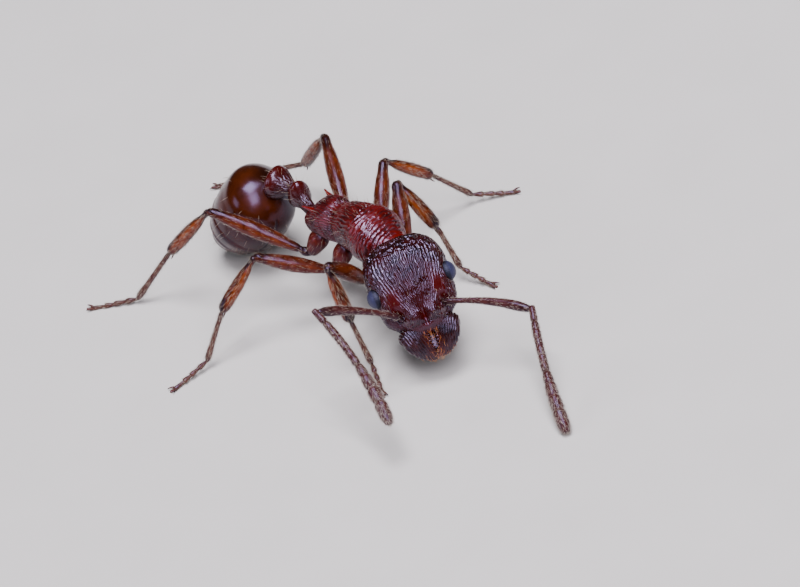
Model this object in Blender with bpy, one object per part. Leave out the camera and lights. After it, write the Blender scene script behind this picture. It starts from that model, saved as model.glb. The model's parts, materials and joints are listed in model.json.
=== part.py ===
"""A red ant worker (Myrmica) at life size, standing on six feet with its head turned to its right.

Lengths are in millimetres and angles in degrees, and MM turns a length to metres.
In the ant's frame and in each local frame, forward is -Y, the ant's left is +X and up is +Z.
Every plate of the body is a solid of its own, with a thin clear gap to the next one.
"""
import math

import bmesh
import bpy
import numpy as np
from mathutils import Matrix, Vector

MM = 0.001
GAP = 0.008                     # clear space between two plates
SIDES = {"left": 1.0, "right": -1.0}

# trunk: level, with its middle over the ant's origin
TRUNK_HEIGHT = 1.15
TRUNK_FRONT = -0.815
TRUNK_REAR = 0.75
TRUNK_CUTS = (-0.27, 0.17)      # behind the prothorax and behind the mesothorax
TRUNK_GIRTH = 0.25              # a plain half width, for growing the trunk by the gap
SPINE_ROOT = (0.12, 0.41, 0.06)
SPINE_LENGTH = 0.23
SPINE_TURN = (15.0, -9.0)       # apart, and up
NECK_START = (0.0, -0.80, -0.13)    # in the trunk
NECK_END = (0.0, 0.47, -0.17)       # in the head

# head: its middle lies between the eyes
HEAD_CENTRE = (-0.281, -1.301, 0.92)
HEAD_YAW = -25.3
HEAD_PITCH = 42.0
HEAD_ROLL = -2.2
HEAD_REAR = 0.582
HEAD_FRONT = -0.51
HEAD_HALF_WIDTH = 0.480
HEAD_HALF_HEIGHT = 0.39
EYE_PLACE = (0.43, 0.0, 0.13)
EYE_RADII = (0.10, 0.116, 0.11)
MANDIBLE_ROOT = -0.47
MANDIBLE_TIP = -0.86

# antennae: from the sockets beside the frontal lobes
SOCKET = (0.25, -0.33, 0.22)
SCAPE_LENGTH = 1.03
SCAPE_BOW = 22.0
SCAPE_THICK = 0.056
ELBOW_GAP = 0.034
FUNICULUS_LENGTH = 1.60
FUNICULUS_THICK = 0.072
PEDICEL_SHARE = 0.10            # of the funiculus
CLUB_SHARE = 0.50               # the last four segments
CLUB_SHARES = (0.19, 0.21, 0.23, 0.37)
# the scape's angle out of the head's axis and its lift, then the same of the funiculus and its bow
ANTENNAE = {
    "left": (59.5, 16.0, -13.0, 15.5, -11.0),
    "right": (110.5, 27.0, -20.5, 9.0, -20.0),
}

# waist and gaster: each turns to the ant's left and down from the end of the one before it
PETIOLE_LENGTH = 0.41
PETIOLE_ROOT_HEIGHT = -0.15
PETIOLE_TURN = (165.5, -12.0)
WAIST_GAP = 0.022
POSTPETIOLE_LENGTH = 0.32
POSTPETIOLE_TURN = (26.0, 6.0)
GASTER_LENGTH = 1.30
GASTER_HALF_WIDTH = 0.465
GASTER_HALF_HEIGHT = 0.45
GASTER_SAG = 0.06
GASTER_TURN = (25.0, 49.0)
GASTER_CUTS = (0.60, 0.76, 0.89)

# legs: lengths and greatest radii of the segments of each pair
LEG_LENGTHS = {
    "front": {"femur": 0.90, "tibia": 0.71, "tarsus": 0.55, "foot": 0.47},
    "middle": {"femur": 0.96, "tibia": 0.74, "tarsus": 0.62, "foot": 0.53},
    "hind": {"femur": 1.28, "tibia": 0.92, "tarsus": 0.81, "foot": 0.60},
}
LEG_RADII = {
    "front": {"coxa": 0.120, "femur": 0.100, "tibia": 0.082, "tarsus": 0.036, "foot": 0.030},
    "middle": {"coxa": 0.115, "femur": 0.092, "tibia": 0.074, "tarsus": 0.034, "foot": 0.029},
    "hind": {"coxa": 0.120, "femur": 0.094, "tibia": 0.076, "tarsus": 0.036, "foot": 0.030},
}
# the radius along each segment, as shares of the greatest one
LEG_SHAPES = {
    "coxa": [(0, 0.80), (0.3, 1.0), (0.75, 0.72), (1, 0.50)],
    "femur": [(0, 0.50), (0.05, 0.60), (0.10, 0.42), (0.2, 0.62), (0.5, 1.0), (0.75, 0.86), (0.92, 0.66),
              (1, 0.62)],
    "tibia": [(0, 0.62), (0.08, 0.50), (0.3, 0.80), (0.6, 1.0), (0.85, 0.95), (1, 0.75)],
    "tarsus": [(0, 0.75), (0.15, 0.85), (0.7, 0.95), (1, 1.0)],
    "foot": [(0, 1.0), (0.22, 0.80), (0.26, 1.0), (0.46, 0.78), (0.5, 0.95), (0.66, 0.72), (0.7, 0.80),
             (0.92, 1.0), (1, 1.05)],
}
LEG_RINGS = {"coxa": 7, "femur": 11, "tibia": 8, "tarsus": 5, "foot": 11}
FEMUR_BOWS = {"front": -12.0, "middle": 4.0, "hind": -3.0}
SOCKET_SHARE = 0.3              # of a segment, sunk at most in the one before it
CLAW_LENGTH = 0.105
CLAW_THICK = 0.013
CLAW_SPREAD = 24.0
CLAW_BOW = 60.0
CLAW_LIFT = 50.0
FOOT_SINK = 0.95                # how much of the last pad's radius the floor cuts off
# where each pair's coxa leaves the trunk: out from the middle, along Y, and up
COXA_ROOTS = {"front": (0.15, -0.50, 0.98), "middle": (0.16, -0.02, 0.94), "hind": (0.15, 0.40, 0.94)}
# per leg: the coxa's end, then turn and lift of femur, tibia and tarsus, then the foot's turn
# a turn of 0 points forward and 90 points out from the body
STANCE = {
    ("left", "front"): ((0.28, -0.50, 0.59), (135, 50), (21, -60), (-6, -60), 14),
    ("left", "middle"): ((0.31, 0.03, 0.65), (126, 31), (79, -46), (69, -52), 51),
    ("left", "hind"): ((0.29, 0.53, 0.67), (147, 21), (179, -47), (201, -18), 211),
    ("right", "front"): ((0.28, -0.49, 0.63), (80, 51), (13, -72), (13, -63), 29),
    ("right", "middle"): ((0.34, 0.06, 0.64), (131, 27), (106, -40), (97, -53), 97),
    ("right", "hind"): ((0.33, 0.51, 0.70), (153, 27), (152, -43), (136, -47), 138),
}


# ---------------------------------------------------------------- helpers

def clear_scene():
    for item in list(bpy.data.objects):
        bpy.data.objects.remove(item, do_unlink=True)


def plate_material(name, colour, roughness=0.35):
    """Hard cuticle: a plain gloss skin with no metal in it."""
    material = bpy.data.materials.new(name)
    material.use_nodes = True
    shader = material.node_tree.nodes["Principled BSDF"]
    shader.inputs["Base Color"].default_value = (*colour, 1.0)
    shader.inputs["Roughness"].default_value = roughness
    shader.inputs["Metallic"].default_value = 0.0
    return material


def frame_at(place, yaw=0.0, pitch=0.0, roll=0.0):
    """A frame at a place in mm: yaw turns to the ant's left, pitch turns the front down."""
    turn = Matrix.Rotation(math.radians(yaw), 4, "Z") @ Matrix.Rotation(math.radians(pitch), 4, "X")
    turn = turn @ Matrix.Rotation(math.radians(roll), 4, "Y")
    return Matrix.Translation(Vector(place) * MM) @ turn


def ahead(frame, length):
    """The point that lies a length in front of a frame."""
    return frame @ Vector((0.0, -length * MM, 0.0))


def through(points, t):
    """A smooth curve through (t, value) points, with the slope of its neighbours at each."""
    ts = np.array([p[0] for p in points], float)
    vs = np.array([p[1] for p in points], float)
    slopes = np.gradient(vs, ts)
    k = np.clip(np.searchsorted(ts, t, side="right") - 1, 0, len(ts) - 2)
    step = ts[k + 1] - ts[k]
    u = np.clip((t - ts[k]) / step, 0.0, 1.0)
    start = (1 + 2 * u) * (1 - u) ** 2 * vs[k] + u * (1 - u) ** 2 * step * slopes[k]
    end = u * u * (3 - 2 * u) * vs[k + 1] + u * u * (u - 1) * step * slopes[k + 1]
    return start + end


def rounded(t, power):
    """1 along the middle of a body and 0 at both of its ends."""
    return np.clip(1.0 - np.abs(2.0 * t - 1.0) ** power, 0.0, 1.0) ** (1.0 / power)


def oval(angle, squareness=2.0):
    """Across and up on a unit section: 2 is an ellipse, and more is nearer to a box."""
    c, s = np.cos(angle), np.sin(angle)
    across = np.sign(c) * np.abs(c) ** (2.0 / squareness)
    up = np.sign(s) * np.abs(s) ** (2.0 / squareness)
    return across, up


def bump(x, y, centre, size):
    """A soft mound of height 1 round a centre."""
    return np.exp(-((x - centre[0]) / size[0]) ** 2 - ((y - centre[1]) / size[1]) ** 2)


def arc(t, length, bow):
    """Points and up directions along a curve that starts forward and bends up by an angle."""
    angle = math.radians(bow) * t
    if bow:
        radius = length / math.radians(bow)
        forward, rise = radius * np.sin(angle), radius * (1.0 - np.cos(angle))
    else:
        forward, rise = length * t, np.zeros_like(t)
    points = np.stack([np.zeros_like(t), -forward, rise], 1)
    up = np.stack([np.zeros_like(t), np.sin(angle), np.cos(angle)], 1)
    return points, up


def arc_over(chord, bow):
    """The length of an arc that bends by an angle between two points a chord apart."""
    half = math.radians(bow) / 2.0
    return chord * half / math.sin(half) if bow else chord


def ring_mesh(name, rings, sides, place, even=False, keep=(None, None)):
    """A sphere whose rings are moved to the sections of a body, and then cut across.

    place takes t, 0 at the first pole and 1 at the last, and the angle round the ring.
    keep is the stretch along Y that is left, where None is an end with no cut.
    """
    bm = bmesh.new()
    bmesh.ops.create_uvsphere(bm, u_segments=sides, v_segments=rings, radius=1.0)
    unit = np.array([v.co for v in bm.verts])
    z = np.clip(unit[:, 2], -1.0, 1.0)
    t = np.arccos(z) / math.pi if even else (1.0 - z) / 2.0
    for vertex, co in zip(bm.verts, place(t, np.arctan2(unit[:, 1], unit[:, 0]))):
        vertex.co = co
    for height, outward in zip(keep, (-1.0, 1.0)):
        if height is not None:
            cut_across(bm, height, outward)
    bmesh.ops.recalc_face_normals(bm, faces=bm.faces)
    if bm.calc_volume(signed=True) < 0.0:
        bmesh.ops.reverse_faces(bm, faces=bm.faces)
    bmesh.ops.scale(bm, vec=(MM, MM, MM), verts=bm.verts)
    mesh = bpy.data.meshes.new(name)
    bm.to_mesh(mesh)
    bm.free()
    mesh.shade_smooth()
    return mesh


def cut_across(bm, height, outward):
    """Drop what lies beyond a plane across Y and close the cut."""
    everything = bm.verts[:] + bm.edges[:] + bm.faces[:]
    cut = bmesh.ops.bisect_plane(bm, geom=everything, plane_co=(0.0, height, 0.0),
                                 plane_no=(0.0, outward, 0.0), clear_outer=True, dist=1e-6)
    rim = [item for item in cut["geom_cut"] if isinstance(item, bmesh.types.BMEdge)]
    bmesh.ops.holes_fill(bm, edges=rim, sides=0)


def limb_mesh(name, length, thick, shape, rings, sides=8, bow=0.0, span=(0.0, 1.0), blunt=6.0, even=False):
    """A limb along an arc: shape gives the radius as shares of thick, and span is the part kept."""
    def place(t, angle):
        along = span[0] + (span[1] - span[0]) * t
        points, up = arc(along, length, bow)
        radius = thick * through(shape, along) * rounded(t, blunt)
        across, rise = oval(angle)
        side = np.array([[1.0, 0.0, 0.0]])
        return points + side * (radius * across)[:, None] + up * (radius * rise)[:, None]
    return ring_mesh(name, rings, sides, place, even)


class Ant:
    """The collection, the stand empty and the materials that every plate uses."""

    def __init__(self):
        self.parts = bpy.data.collections.new("red_ant")
        self.cutters = bpy.data.collections.new("cutters")
        bpy.context.scene.collection.children.link(self.parts)
        bpy.context.scene.collection.children.link(self.cutters)
        self.stand = bpy.data.objects.new("stance", None)
        self.parts.objects.link(self.stand)
        self.materials = {
            "head": plate_material("head_cuticle", (0.045, 0.012, 0.012)),
            "red": plate_material("trunk_cuticle", (0.20, 0.020, 0.012)),
            "gaster": plate_material("gaster_cuticle", (0.12, 0.018, 0.008), roughness=0.2),
            "limb": plate_material("limb_cuticle", (0.24, 0.045, 0.010)),
            "feeler": plate_material("feeler_cuticle", (0.16, 0.035, 0.025), roughness=0.45),
            "eye": plate_material("eye_facets", (0.012, 0.014, 0.02), roughness=0.25),
        }

    def add(self, mesh, frame, finish):
        """A plate of the body, named as its mesh."""
        part = bpy.data.objects.new(mesh.name, mesh)
        self.parts.objects.link(part)
        part.parent = self.stand
        part.matrix_world = frame
        mesh.materials.append(self.materials[finish])
        return part

    def combine(self, part, mesh, frame, operation):
        """A Boolean with a mesh that the model then leaves out."""
        other = bpy.data.objects.new(mesh.name, mesh)
        self.cutters.objects.link(other)
        other.parent = self.stand
        other.matrix_world = frame
        other.hide_render = True
        other.display_type = "WIRE"
        step = part.modifiers.new(operation.lower(), "BOOLEAN")
        step.operation = operation
        step.object = other
        step.solver = "EXACT"


# ---------------------------------------------------------------- head

def head_point(t, angle):
    """The head capsule: square behind, a little narrower in front, with raised frontal lobes."""
    y = HEAD_REAR + (HEAD_FRONT - HEAD_REAR) * t
    power = 2.8 + 2.3 * t
    end = rounded(t, power)
    half = HEAD_HALF_WIDTH * end * through([(0, 1.0), (0.3, 1.0), (0.5, 0.985), (0.7, 0.955), (1, 0.94)], t)
    roof = HEAD_HALF_HEIGHT * end * through([(0, 0.92), (0.25, 1.0), (0.5, 1.02), (0.75, 0.88), (1, 0.62)], t)
    floor = HEAD_HALF_HEIGHT * end * through([(0, 0.85), (0.3, 0.95), (0.7, 0.86), (1, 0.60)], t)
    across, up = oval(angle, 2.35)
    x = half * across
    z = np.where(up > 0, roof, floor) * up
    side = np.abs(x)
    lobes = 0.060 * bump(side, y, (0.125, -0.26), (0.075, 0.13))
    pits = 0.075 * bump(side, y, (0.275, -0.33), (0.07, 0.11))
    notch = 0.030 * bump(side, y, (0.0, -0.33), (0.035, 0.07))
    clypeus = 0.050 * bump(side, y, (0.0, -0.47), (0.17, 0.07))
    z = z + np.clip(up, 0.0, 1.0) ** 0.5 * (lobes - pits - notch + clypeus)
    return np.stack([x, y, z], 1)


def wider_head(t, angle):
    """The head capsule grown by the gap, which trims what sits on it."""
    return head_point(t, angle) * (1.0 + GAP / HEAD_HALF_HEIGHT)


def head_mesh(name, place):
    return ring_mesh(name, 22, 26, place)


def mandible_mesh(name, side):
    """A triangular jaw: a curved outer edge, and an inner edge that meets the other jaw."""
    def place(t, angle):
        y = MANDIBLE_ROOT + (MANDIBLE_TIP - MANDIBLE_ROOT) * t
        outer = through([(0, 0.34), (0.12, 0.365), (0.27, 0.36), (0.48, 0.315), (0.7, 0.25), (0.85, 0.19),
                         (1, 0.10)], t)
        inner = through([(0, 0.20), (0.2, 0.10), (0.4, 0.03), (0.7, 0.006), (1, 0.004)], t)
        thick = through([(0, 0.10), (0.3, 0.085), (0.7, 0.055), (1, 0.02)], t) * rounded(t, 4.0)
        drop = through([(0, 0.02), (0.4, 0.05), (0.75, 0.03), (1, -0.03)], t)
        across, up = oval(angle, 2.2)
        middle = (outer + inner) / 2.0
        half = (outer - inner) / 2.0 * rounded(t, 5.0)
        lean = 0.35 * half * across
        return np.stack([side * (middle + half * across), y, drop + thick * up - lean], 1)
    return ring_mesh(name, 9, 10, place)


def eye_mesh(name, side):
    """A compound eye: an egg shape, half of it sunk in the side of the head."""
    def place(t, angle):
        ring = rounded(t, 2.0)
        across, up = oval(angle)
        x = EYE_PLACE[0] + EYE_RADII[0] * ring * across
        y = EYE_PLACE[1] + EYE_RADII[1] * (2.0 * t - 1.0)
        z = EYE_PLACE[2] + EYE_RADII[2] * ring * up
        return np.stack([side * x, y, z], 1)
    return ring_mesh(name, 9, 10, place)


def build_head(ant, head):
    ant.add(head_mesh("head", head_point), head, "head")
    for name, side in SIDES.items():
        eye = ant.add(eye_mesh("eye_" + name, side), head, "eye")
        ant.combine(eye, head_mesh("eye_bed_" + name, wider_head), head, "DIFFERENCE")
        jaw = ant.add(mandible_mesh("mandible_" + name, side), head, "head")
        ant.combine(jaw, head_mesh("jaw_bed_" + name, wider_head), head, "DIFFERENCE")


# ---------------------------------------------------------------- antennae

def build_antenna(ant, head, name, side):
    """Scape, then the funiculus, whose frame lies on its side so that both bow in the face's plane."""
    out, lift, fore, fore_lift, fore_bow = ANTENNAE[name]
    label = "antenna_" + name + "_"
    flat = -90.0 * side
    socket = head @ frame_at((side * SOCKET[0], SOCKET[1], SOCKET[2]), yaw=side * out, pitch=-lift, roll=flat)
    shape = [(0, 0.54), (0.06, 0.71), (0.13, 0.61), (0.6, 0.84), (0.92, 1.0), (1, 0.89)]
    scape = limb_mesh(label + "scape", arc_over(SCAPE_LENGTH, SCAPE_BOW), SCAPE_THICK, shape, rings=10,
                      bow=SCAPE_BOW, span=(0.035, 1.0))
    ant.add(scape, socket @ frame_at((0, 0, 0), pitch=SCAPE_BOW / 2.0), "feeler")

    elbow = Matrix.Translation(ahead(socket, SCAPE_LENGTH + ELBOW_GAP))
    root = elbow @ head.to_3x3().to_4x4()
    root = root @ frame_at((0, 0, 0), yaw=side * fore, pitch=-fore_lift, roll=flat)
    ends = funiculus_ends()
    gap = GAP / 2.0 / FUNICULUS_LENGTH
    spans = {"pedicel": (0.0, ends[0], 5), "flagellum": (ends[0], ends[6], 14), "club": (ends[6], 1.0, 12)}
    for part, (low, high, rings) in spans.items():
        mesh = limb_mesh(label + part, FUNICULUS_LENGTH, FUNICULUS_THICK, funiculus_shape(), rings=rings,
                         bow=fore_bow, blunt=5.0, even=part != "pedicel", span=(low + gap, high - gap))
        ant.add(mesh, root, "feeler")


def funiculus_ends():
    """Where each of the eleven segments ends, as shares of the length."""
    middle = 1.0 - PEDICEL_SHARE - CLUB_SHARE
    sizes = [PEDICEL_SHARE] + [middle / 6.0] * 6
    sizes += [CLUB_SHARE * share for share in CLUB_SHARES]
    return list(np.cumsum(sizes))


def funiculus_shape():
    """Beads that grow towards the club and end in a blunt cone."""
    growth = [(0, 0.56), (0.1, 0.56), (0.5, 0.67), (0.62, 0.86), (0.85, 1.0), (1, 0.92)]
    points = []
    start = 0.0
    for end in funiculus_ends():
        size = float(through(growth, np.array([(start + end) / 2.0]))[0])
        shoulder = 0.85 if end > 0.999 else 1.0
        points.append((start, 0.80 * size))
        points.append((start + 0.3 * (end - start), 0.97 * size))
        points.append((start + 0.75 * (end - start), shoulder * size))
        start = end
    return points + [(1.0, 0.49)]


# ---------------------------------------------------------------- trunk and waist

def trunk_point(t, angle):
    """The whole trunk: a domed front, a shallow groove, and a lower, narrower rear."""
    y = TRUNK_FRONT + (TRUNK_REAR - TRUNK_FRONT) * t
    half = through([(0, 0.13), (0.06, 0.20), (0.13, 0.285), (0.22, 0.335), (0.30, 0.325), (0.38, 0.28),
                    (0.46, 0.255), (0.56, 0.24), (0.63, 0.23), (0.74, 0.25), (0.88, 0.225), (1, 0.15)], t)
    top = through([(0, -0.04), (0.06, 0.05), (0.14, 0.19), (0.25, 0.275), (0.36, 0.29), (0.46, 0.27),
                   (0.54, 0.225), (0.61, 0.165), (0.70, 0.18), (0.82, 0.13), (0.92, -0.01), (1, -0.11)], t)
    base = through([(0, -0.20), (0.06, -0.24), (0.2, -0.31), (0.4, -0.34), (0.6, -0.335), (0.8, -0.325),
                    (0.94, -0.29), (1, -0.22)], t)
    ends = rounded(t, 9.0)
    across, up = oval(angle, 2.3)
    middle = (top + base) / 2.0
    waist = 1.0 - 0.12 * bump(t, 0.0, (0.60, 0.0), (0.035, 1.0))
    return np.stack([half * across * ends * waist, y, middle + (top - base) / 2.0 * up * ends], 1)


def wider_trunk(t, angle):
    """The trunk grown by the gap, which trims the coxae under it."""
    return trunk_point(t, angle) * (1.0 + GAP / TRUNK_GIRTH)


def trunk_mesh(name, place, keep=(None, None)):
    return ring_mesh(name, 24, 20, place, even=True, keep=keep)


def build_trunk(ant, trunk):
    front, rear = TRUNK_CUTS
    spans = {
        "prothorax": (None, front - GAP / 2.0),
        "mesothorax": (front + GAP / 2.0, rear - GAP / 2.0),
        "propodeum": (rear + GAP / 2.0, None),
    }
    for name, keep in spans.items():
        part = ant.add(trunk_mesh(name, trunk_point, keep), trunk, "red")
    spread, lift = SPINE_TURN
    for name, side in SIDES.items():
        spine = limb_mesh("spine_" + name, SPINE_LENGTH, 0.05, [(0, 1.0), (0.4, 0.68), (1, 0.16)], rings=5,
                          blunt=8.0)
        root = frame_at((side * SPINE_ROOT[0], *SPINE_ROOT[1:]), yaw=180.0 - side * spread, pitch=lift)
        ant.combine(part, spine, trunk @ root, "UNION")


def build_neck(ant, trunk, head):
    """A short neck from the prothorax to the back of the head."""
    start = trunk @ (Vector(NECK_START) * MM)
    along = head @ (Vector(NECK_END) * MM) - start
    turn = along.normalized().to_track_quat("-Y", "Z").to_matrix().to_4x4()
    mesh = limb_mesh("neck", along.length / MM, 0.10, [(0, 1.0), (0.5, 0.88), (1, 0.80)], rings=6, sides=12,
                     blunt=12.0)
    neck = ant.add(mesh, Matrix.Translation(start) @ turn, "red")
    ant.combine(neck, head_mesh("neck_bed_front", wider_head), head, "DIFFERENCE")
    ant.combine(neck, trunk_mesh("neck_bed_rear", wider_trunk), trunk, "DIFFERENCE")


def waist_mesh(name, length, shape, height, rise):
    """A waist segment whose node stands up over a flatter underside."""
    def place(t, angle):
        radius = through(shape, t) * rounded(t, 5.0)
        across, up = oval(angle, 2.1)
        tall = np.where(up > 0, height, 0.9)
        node = rise * bump(t, 0.0, (0.62, 0.0), (0.25, 1.0)) * np.clip(up, 0.0, 1.0)
        return np.stack([radius * across, -length * t, radius * tall * up + node], 1)
    return ring_mesh(name, 11, 12, place)


def build_waist(ant, trunk):
    """Petiole and postpetiole: it returns the gaster's frame, and the hollow that it needs there."""
    root = trunk @ frame_at((0.0, TRUNK_REAR + GAP, PETIOLE_ROOT_HEIGHT), *PETIOLE_TURN)
    knob = [(0, 0.085), (0.15, 0.075), (0.35, 0.085), (0.62, 0.135), (0.85, 0.115), (1, 0.075)]
    ant.add(waist_mesh("petiole", PETIOLE_LENGTH, knob, 1.45, 0.055), root, "red")
    joint = root @ frame_at((0.0, -PETIOLE_LENGTH - WAIST_GAP, 0.0), *POSTPETIOLE_TURN)
    bell = [(0, 0.075), (0.3, 0.130), (0.65, 0.195), (0.9, 0.180), (1, 0.115)]
    ant.add(waist_mesh("postpetiole", POSTPETIOLE_LENGTH, bell, 0.98, 0.02), joint, "red")
    grown = [(t, radius + GAP) for t, radius in bell]
    socket = waist_mesh("gaster_socket", POSTPETIOLE_LENGTH + GAP, grown, 0.98, 0.02)
    return joint @ frame_at((0.0, -POSTPETIOLE_LENGTH - GAP, 0.0), *GASTER_TURN), socket, joint


def gaster_point(t, angle):
    """The gaster: a broad front shoulder, fullest before the middle, and a pointed end."""
    outline = through([(0, 0.30), (0.05, 0.56), (0.15, 0.86), (0.35, 1.0), (0.55, 0.96), (0.75, 0.74),
                       (0.9, 0.43), (1, 0.20)], t)
    across, up = oval(angle, 2.05)
    size = outline * rounded(t, 5.0)
    x = GASTER_HALF_WIDTH * size * across
    z = GASTER_HALF_HEIGHT * size * up - GASTER_SAG * np.sin(math.pi * t)
    return np.stack([x, -GASTER_LENGTH * t, z], 1)


def build_gaster(ant, frame, socket, joint):
    """Four plates, cut across the whole gaster: the first one is hollowed for the waist."""
    ends = (0.0, *GASTER_CUTS, 1.0)
    for index in range(4):
        front = None if index == 0 else -GASTER_LENGTH * ends[index] - GAP / 2.0
        back = None if index == 3 else -GASTER_LENGTH * ends[index + 1] + GAP / 2.0
        mesh = ring_mesh("gaster_" + str(index + 1), 21, 20, gaster_point, keep=(back, front))
        plate = ant.add(mesh, frame, "gaster")
        if index == 0:
            ant.combine(plate, socket, joint, "DIFFERENCE")


# ---------------------------------------------------------------- legs

def leg_mesh(name, segment, pair, length, bow=0.0, even=False):
    gap = GAP / 2.0 / length
    return limb_mesh(name, arc_over(length, bow), LEG_RADII[pair][segment], LEG_SHAPES[segment],
                     rings=LEG_RINGS[segment], bow=bow, span=(gap, 1.0 - gap), even=even)


def socket_mesh(name, segment, pair, length):
    """The near end of a segment grown by the gap, which hollows the end of the one before it."""
    thick = LEG_RADII[pair][segment]
    shape = [(t, share + GAP / thick) for t, share in LEG_SHAPES[segment]]
    return limb_mesh(name, length, thick, shape, rings=5, span=(-GAP / 2.0 / length, SOCKET_SHARE))


def build_coxa(ant, name, pair, base, hip, trunk):
    """The short thick segment that hangs from the trunk."""
    along = hip - base
    turn = along.normalized().to_track_quat("-Y", "X").to_matrix().to_4x4()
    mesh = leg_mesh(name, "coxa", pair, along.length)
    coxa = ant.add(mesh, Matrix.Translation(base * MM) @ turn, "limb")
    ant.combine(coxa, trunk_mesh(name + "_bed", wider_trunk), trunk, "DIFFERENCE")
    return coxa


def build_foot(ant, name, pair, start, yaw):
    """Four short segments down to the floor, then a pad cut flat and two claws above it."""
    length, thick = LEG_LENGTHS[pair]["foot"], LEG_RADII[pair]["foot"]
    drop = start.z - thick * (1.0 - FOOT_SINK)
    frame = frame_at(start, yaw=yaw, pitch=math.degrees(math.asin(drop / length)))
    foot = ant.add(leg_mesh(name, "foot", pair, length, even=True), frame, "limb")
    tip = ahead(frame, length) / MM
    bm = bmesh.new()
    bmesh.ops.create_cube(bm, size=MM)
    floor = bpy.data.meshes.new(name + "_floor")
    bm.to_mesh(floor)
    bm.free()
    ant.combine(foot, floor, frame_at((tip.x, tip.y, -0.5), yaw=yaw), "DIFFERENCE")
    for spread in (-CLAW_SPREAD, CLAW_SPREAD):
        claw = limb_mesh(name + "_claw", CLAW_LENGTH, CLAW_THICK, [(0, 1.0), (0.5, 0.8), (1, 0.27)], rings=4,
                         sides=6, bow=-CLAW_BOW)
        side = math.copysign(1.1 * CLAW_THICK, spread)
        root = frame @ frame_at((side, 2.0 * thick - length, 0.0), yaw=spread)
        ant.combine(foot, claw, root @ frame_at((0, 0, 0), pitch=-CLAW_LIFT), "UNION")


def build_leg(ant, side_name, pair, trunk):
    """Coxa, femur, tibia, tarsus and foot, each from the end of the one before it."""
    side = SIDES[side_name]
    hip, *aims, foot_turn = STANCE[(side_name, pair)]
    label = "_" + pair + "_" + side_name
    root = COXA_ROOTS[pair]
    start = Vector((side * hip[0], hip[1], hip[2]))
    before = build_coxa(ant, "coxa" + label, pair, Vector((side * root[0], root[1], root[2])), start, trunk)
    for segment, (turn, lift) in zip(("femur", "tibia", "tarsus"), aims):
        bow = FEMUR_BOWS[pair] if segment == "femur" else 0.0
        length = LEG_LENGTHS[pair][segment]
        chord = frame_at(start, yaw=side * turn, pitch=-lift)
        frame = chord @ frame_at((0, 0, 0), pitch=bow / 2.0)
        if segment != "tarsus":
            ant.combine(before, socket_mesh(segment + label + "_socket", segment, pair, length), frame,
                        "DIFFERENCE")
        before = ant.add(leg_mesh(segment + label, segment, pair, length, bow), frame, "limb")
        start = ahead(chord, length) / MM
    build_foot(ant, "foot" + label, pair, start, side * foot_turn)


# ---------------------------------------------------------------- the whole ant

def stand_on_origin(ant):
    """Move the stand so that the middle of the model's footprint is at the origin."""
    bpy.context.view_layer.update()
    graph = bpy.context.evaluated_depsgraph_get()
    corners = []
    for part in ant.parts.objects:
        if part.type == "MESH":
            shaped = part.evaluated_get(graph)
            corners += [part.matrix_world @ v.co for v in shaped.data.vertices]
    corners = np.array(corners)
    middle = (corners.min(0) + corners.max(0)) / 2.0
    ant.stand.location = (-middle[0], -middle[1], -corners[:, 2].min())
    bpy.context.view_layer.update()


def main():
    clear_scene()
    ant = Ant()
    trunk = frame_at((0.0, 0.0, TRUNK_HEIGHT))
    head = frame_at(HEAD_CENTRE, yaw=HEAD_YAW, pitch=HEAD_PITCH, roll=HEAD_ROLL)
    build_head(ant, head)
    for name, side in SIDES.items():
        build_antenna(ant, head, name, side)
    build_neck(ant, trunk, head)
    build_trunk(ant, trunk)
    build_gaster(ant, *build_waist(ant, trunk))
    for side_name, pair in STANCE:
        build_leg(ant, side_name, pair, trunk)
    stand_on_origin(ant)


main()
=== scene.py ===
"""How the red ant worker (Myrmica) looks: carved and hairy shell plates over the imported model.

Lengths are in millimetres and angles in degrees, and MM turns a length to metres.
In the ant's frame and in each local frame, forward is -Y, the ant's left is +X and up is +Z.
Each plate is a sheet round an axis. The sheet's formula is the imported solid's own, and the fine
sculpture, the joints and the hairs are laid on it here.
"""
import json
import math

import bpy
import numpy as np
from mathutils import Matrix, Vector

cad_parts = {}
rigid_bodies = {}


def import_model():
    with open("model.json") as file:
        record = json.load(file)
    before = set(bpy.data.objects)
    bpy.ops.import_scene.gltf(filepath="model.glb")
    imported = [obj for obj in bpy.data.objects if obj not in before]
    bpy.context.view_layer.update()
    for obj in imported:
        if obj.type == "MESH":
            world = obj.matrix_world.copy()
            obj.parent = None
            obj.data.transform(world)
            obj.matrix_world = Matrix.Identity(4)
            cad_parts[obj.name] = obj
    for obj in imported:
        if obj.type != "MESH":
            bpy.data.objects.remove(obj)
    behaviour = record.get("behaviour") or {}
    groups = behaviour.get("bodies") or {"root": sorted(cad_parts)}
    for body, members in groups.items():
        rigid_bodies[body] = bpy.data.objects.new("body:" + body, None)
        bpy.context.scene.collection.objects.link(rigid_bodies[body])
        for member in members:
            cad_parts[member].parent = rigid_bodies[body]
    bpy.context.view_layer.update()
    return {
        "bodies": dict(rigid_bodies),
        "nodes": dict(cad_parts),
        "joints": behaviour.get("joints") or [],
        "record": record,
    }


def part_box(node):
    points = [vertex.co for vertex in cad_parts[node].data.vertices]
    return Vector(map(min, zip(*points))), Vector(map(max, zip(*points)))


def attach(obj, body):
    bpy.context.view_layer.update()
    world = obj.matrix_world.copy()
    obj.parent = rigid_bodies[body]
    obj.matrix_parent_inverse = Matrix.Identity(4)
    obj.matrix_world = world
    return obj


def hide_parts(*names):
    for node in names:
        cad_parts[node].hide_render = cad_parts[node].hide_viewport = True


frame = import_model()

MM = 0.001
PER_MM = 1.0 / MM               # a pattern's scale is its waves to the metre
GAP = 0.008                     # clear space between two plates
SIDES = {"left": 1.0, "right": -1.0}

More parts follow.
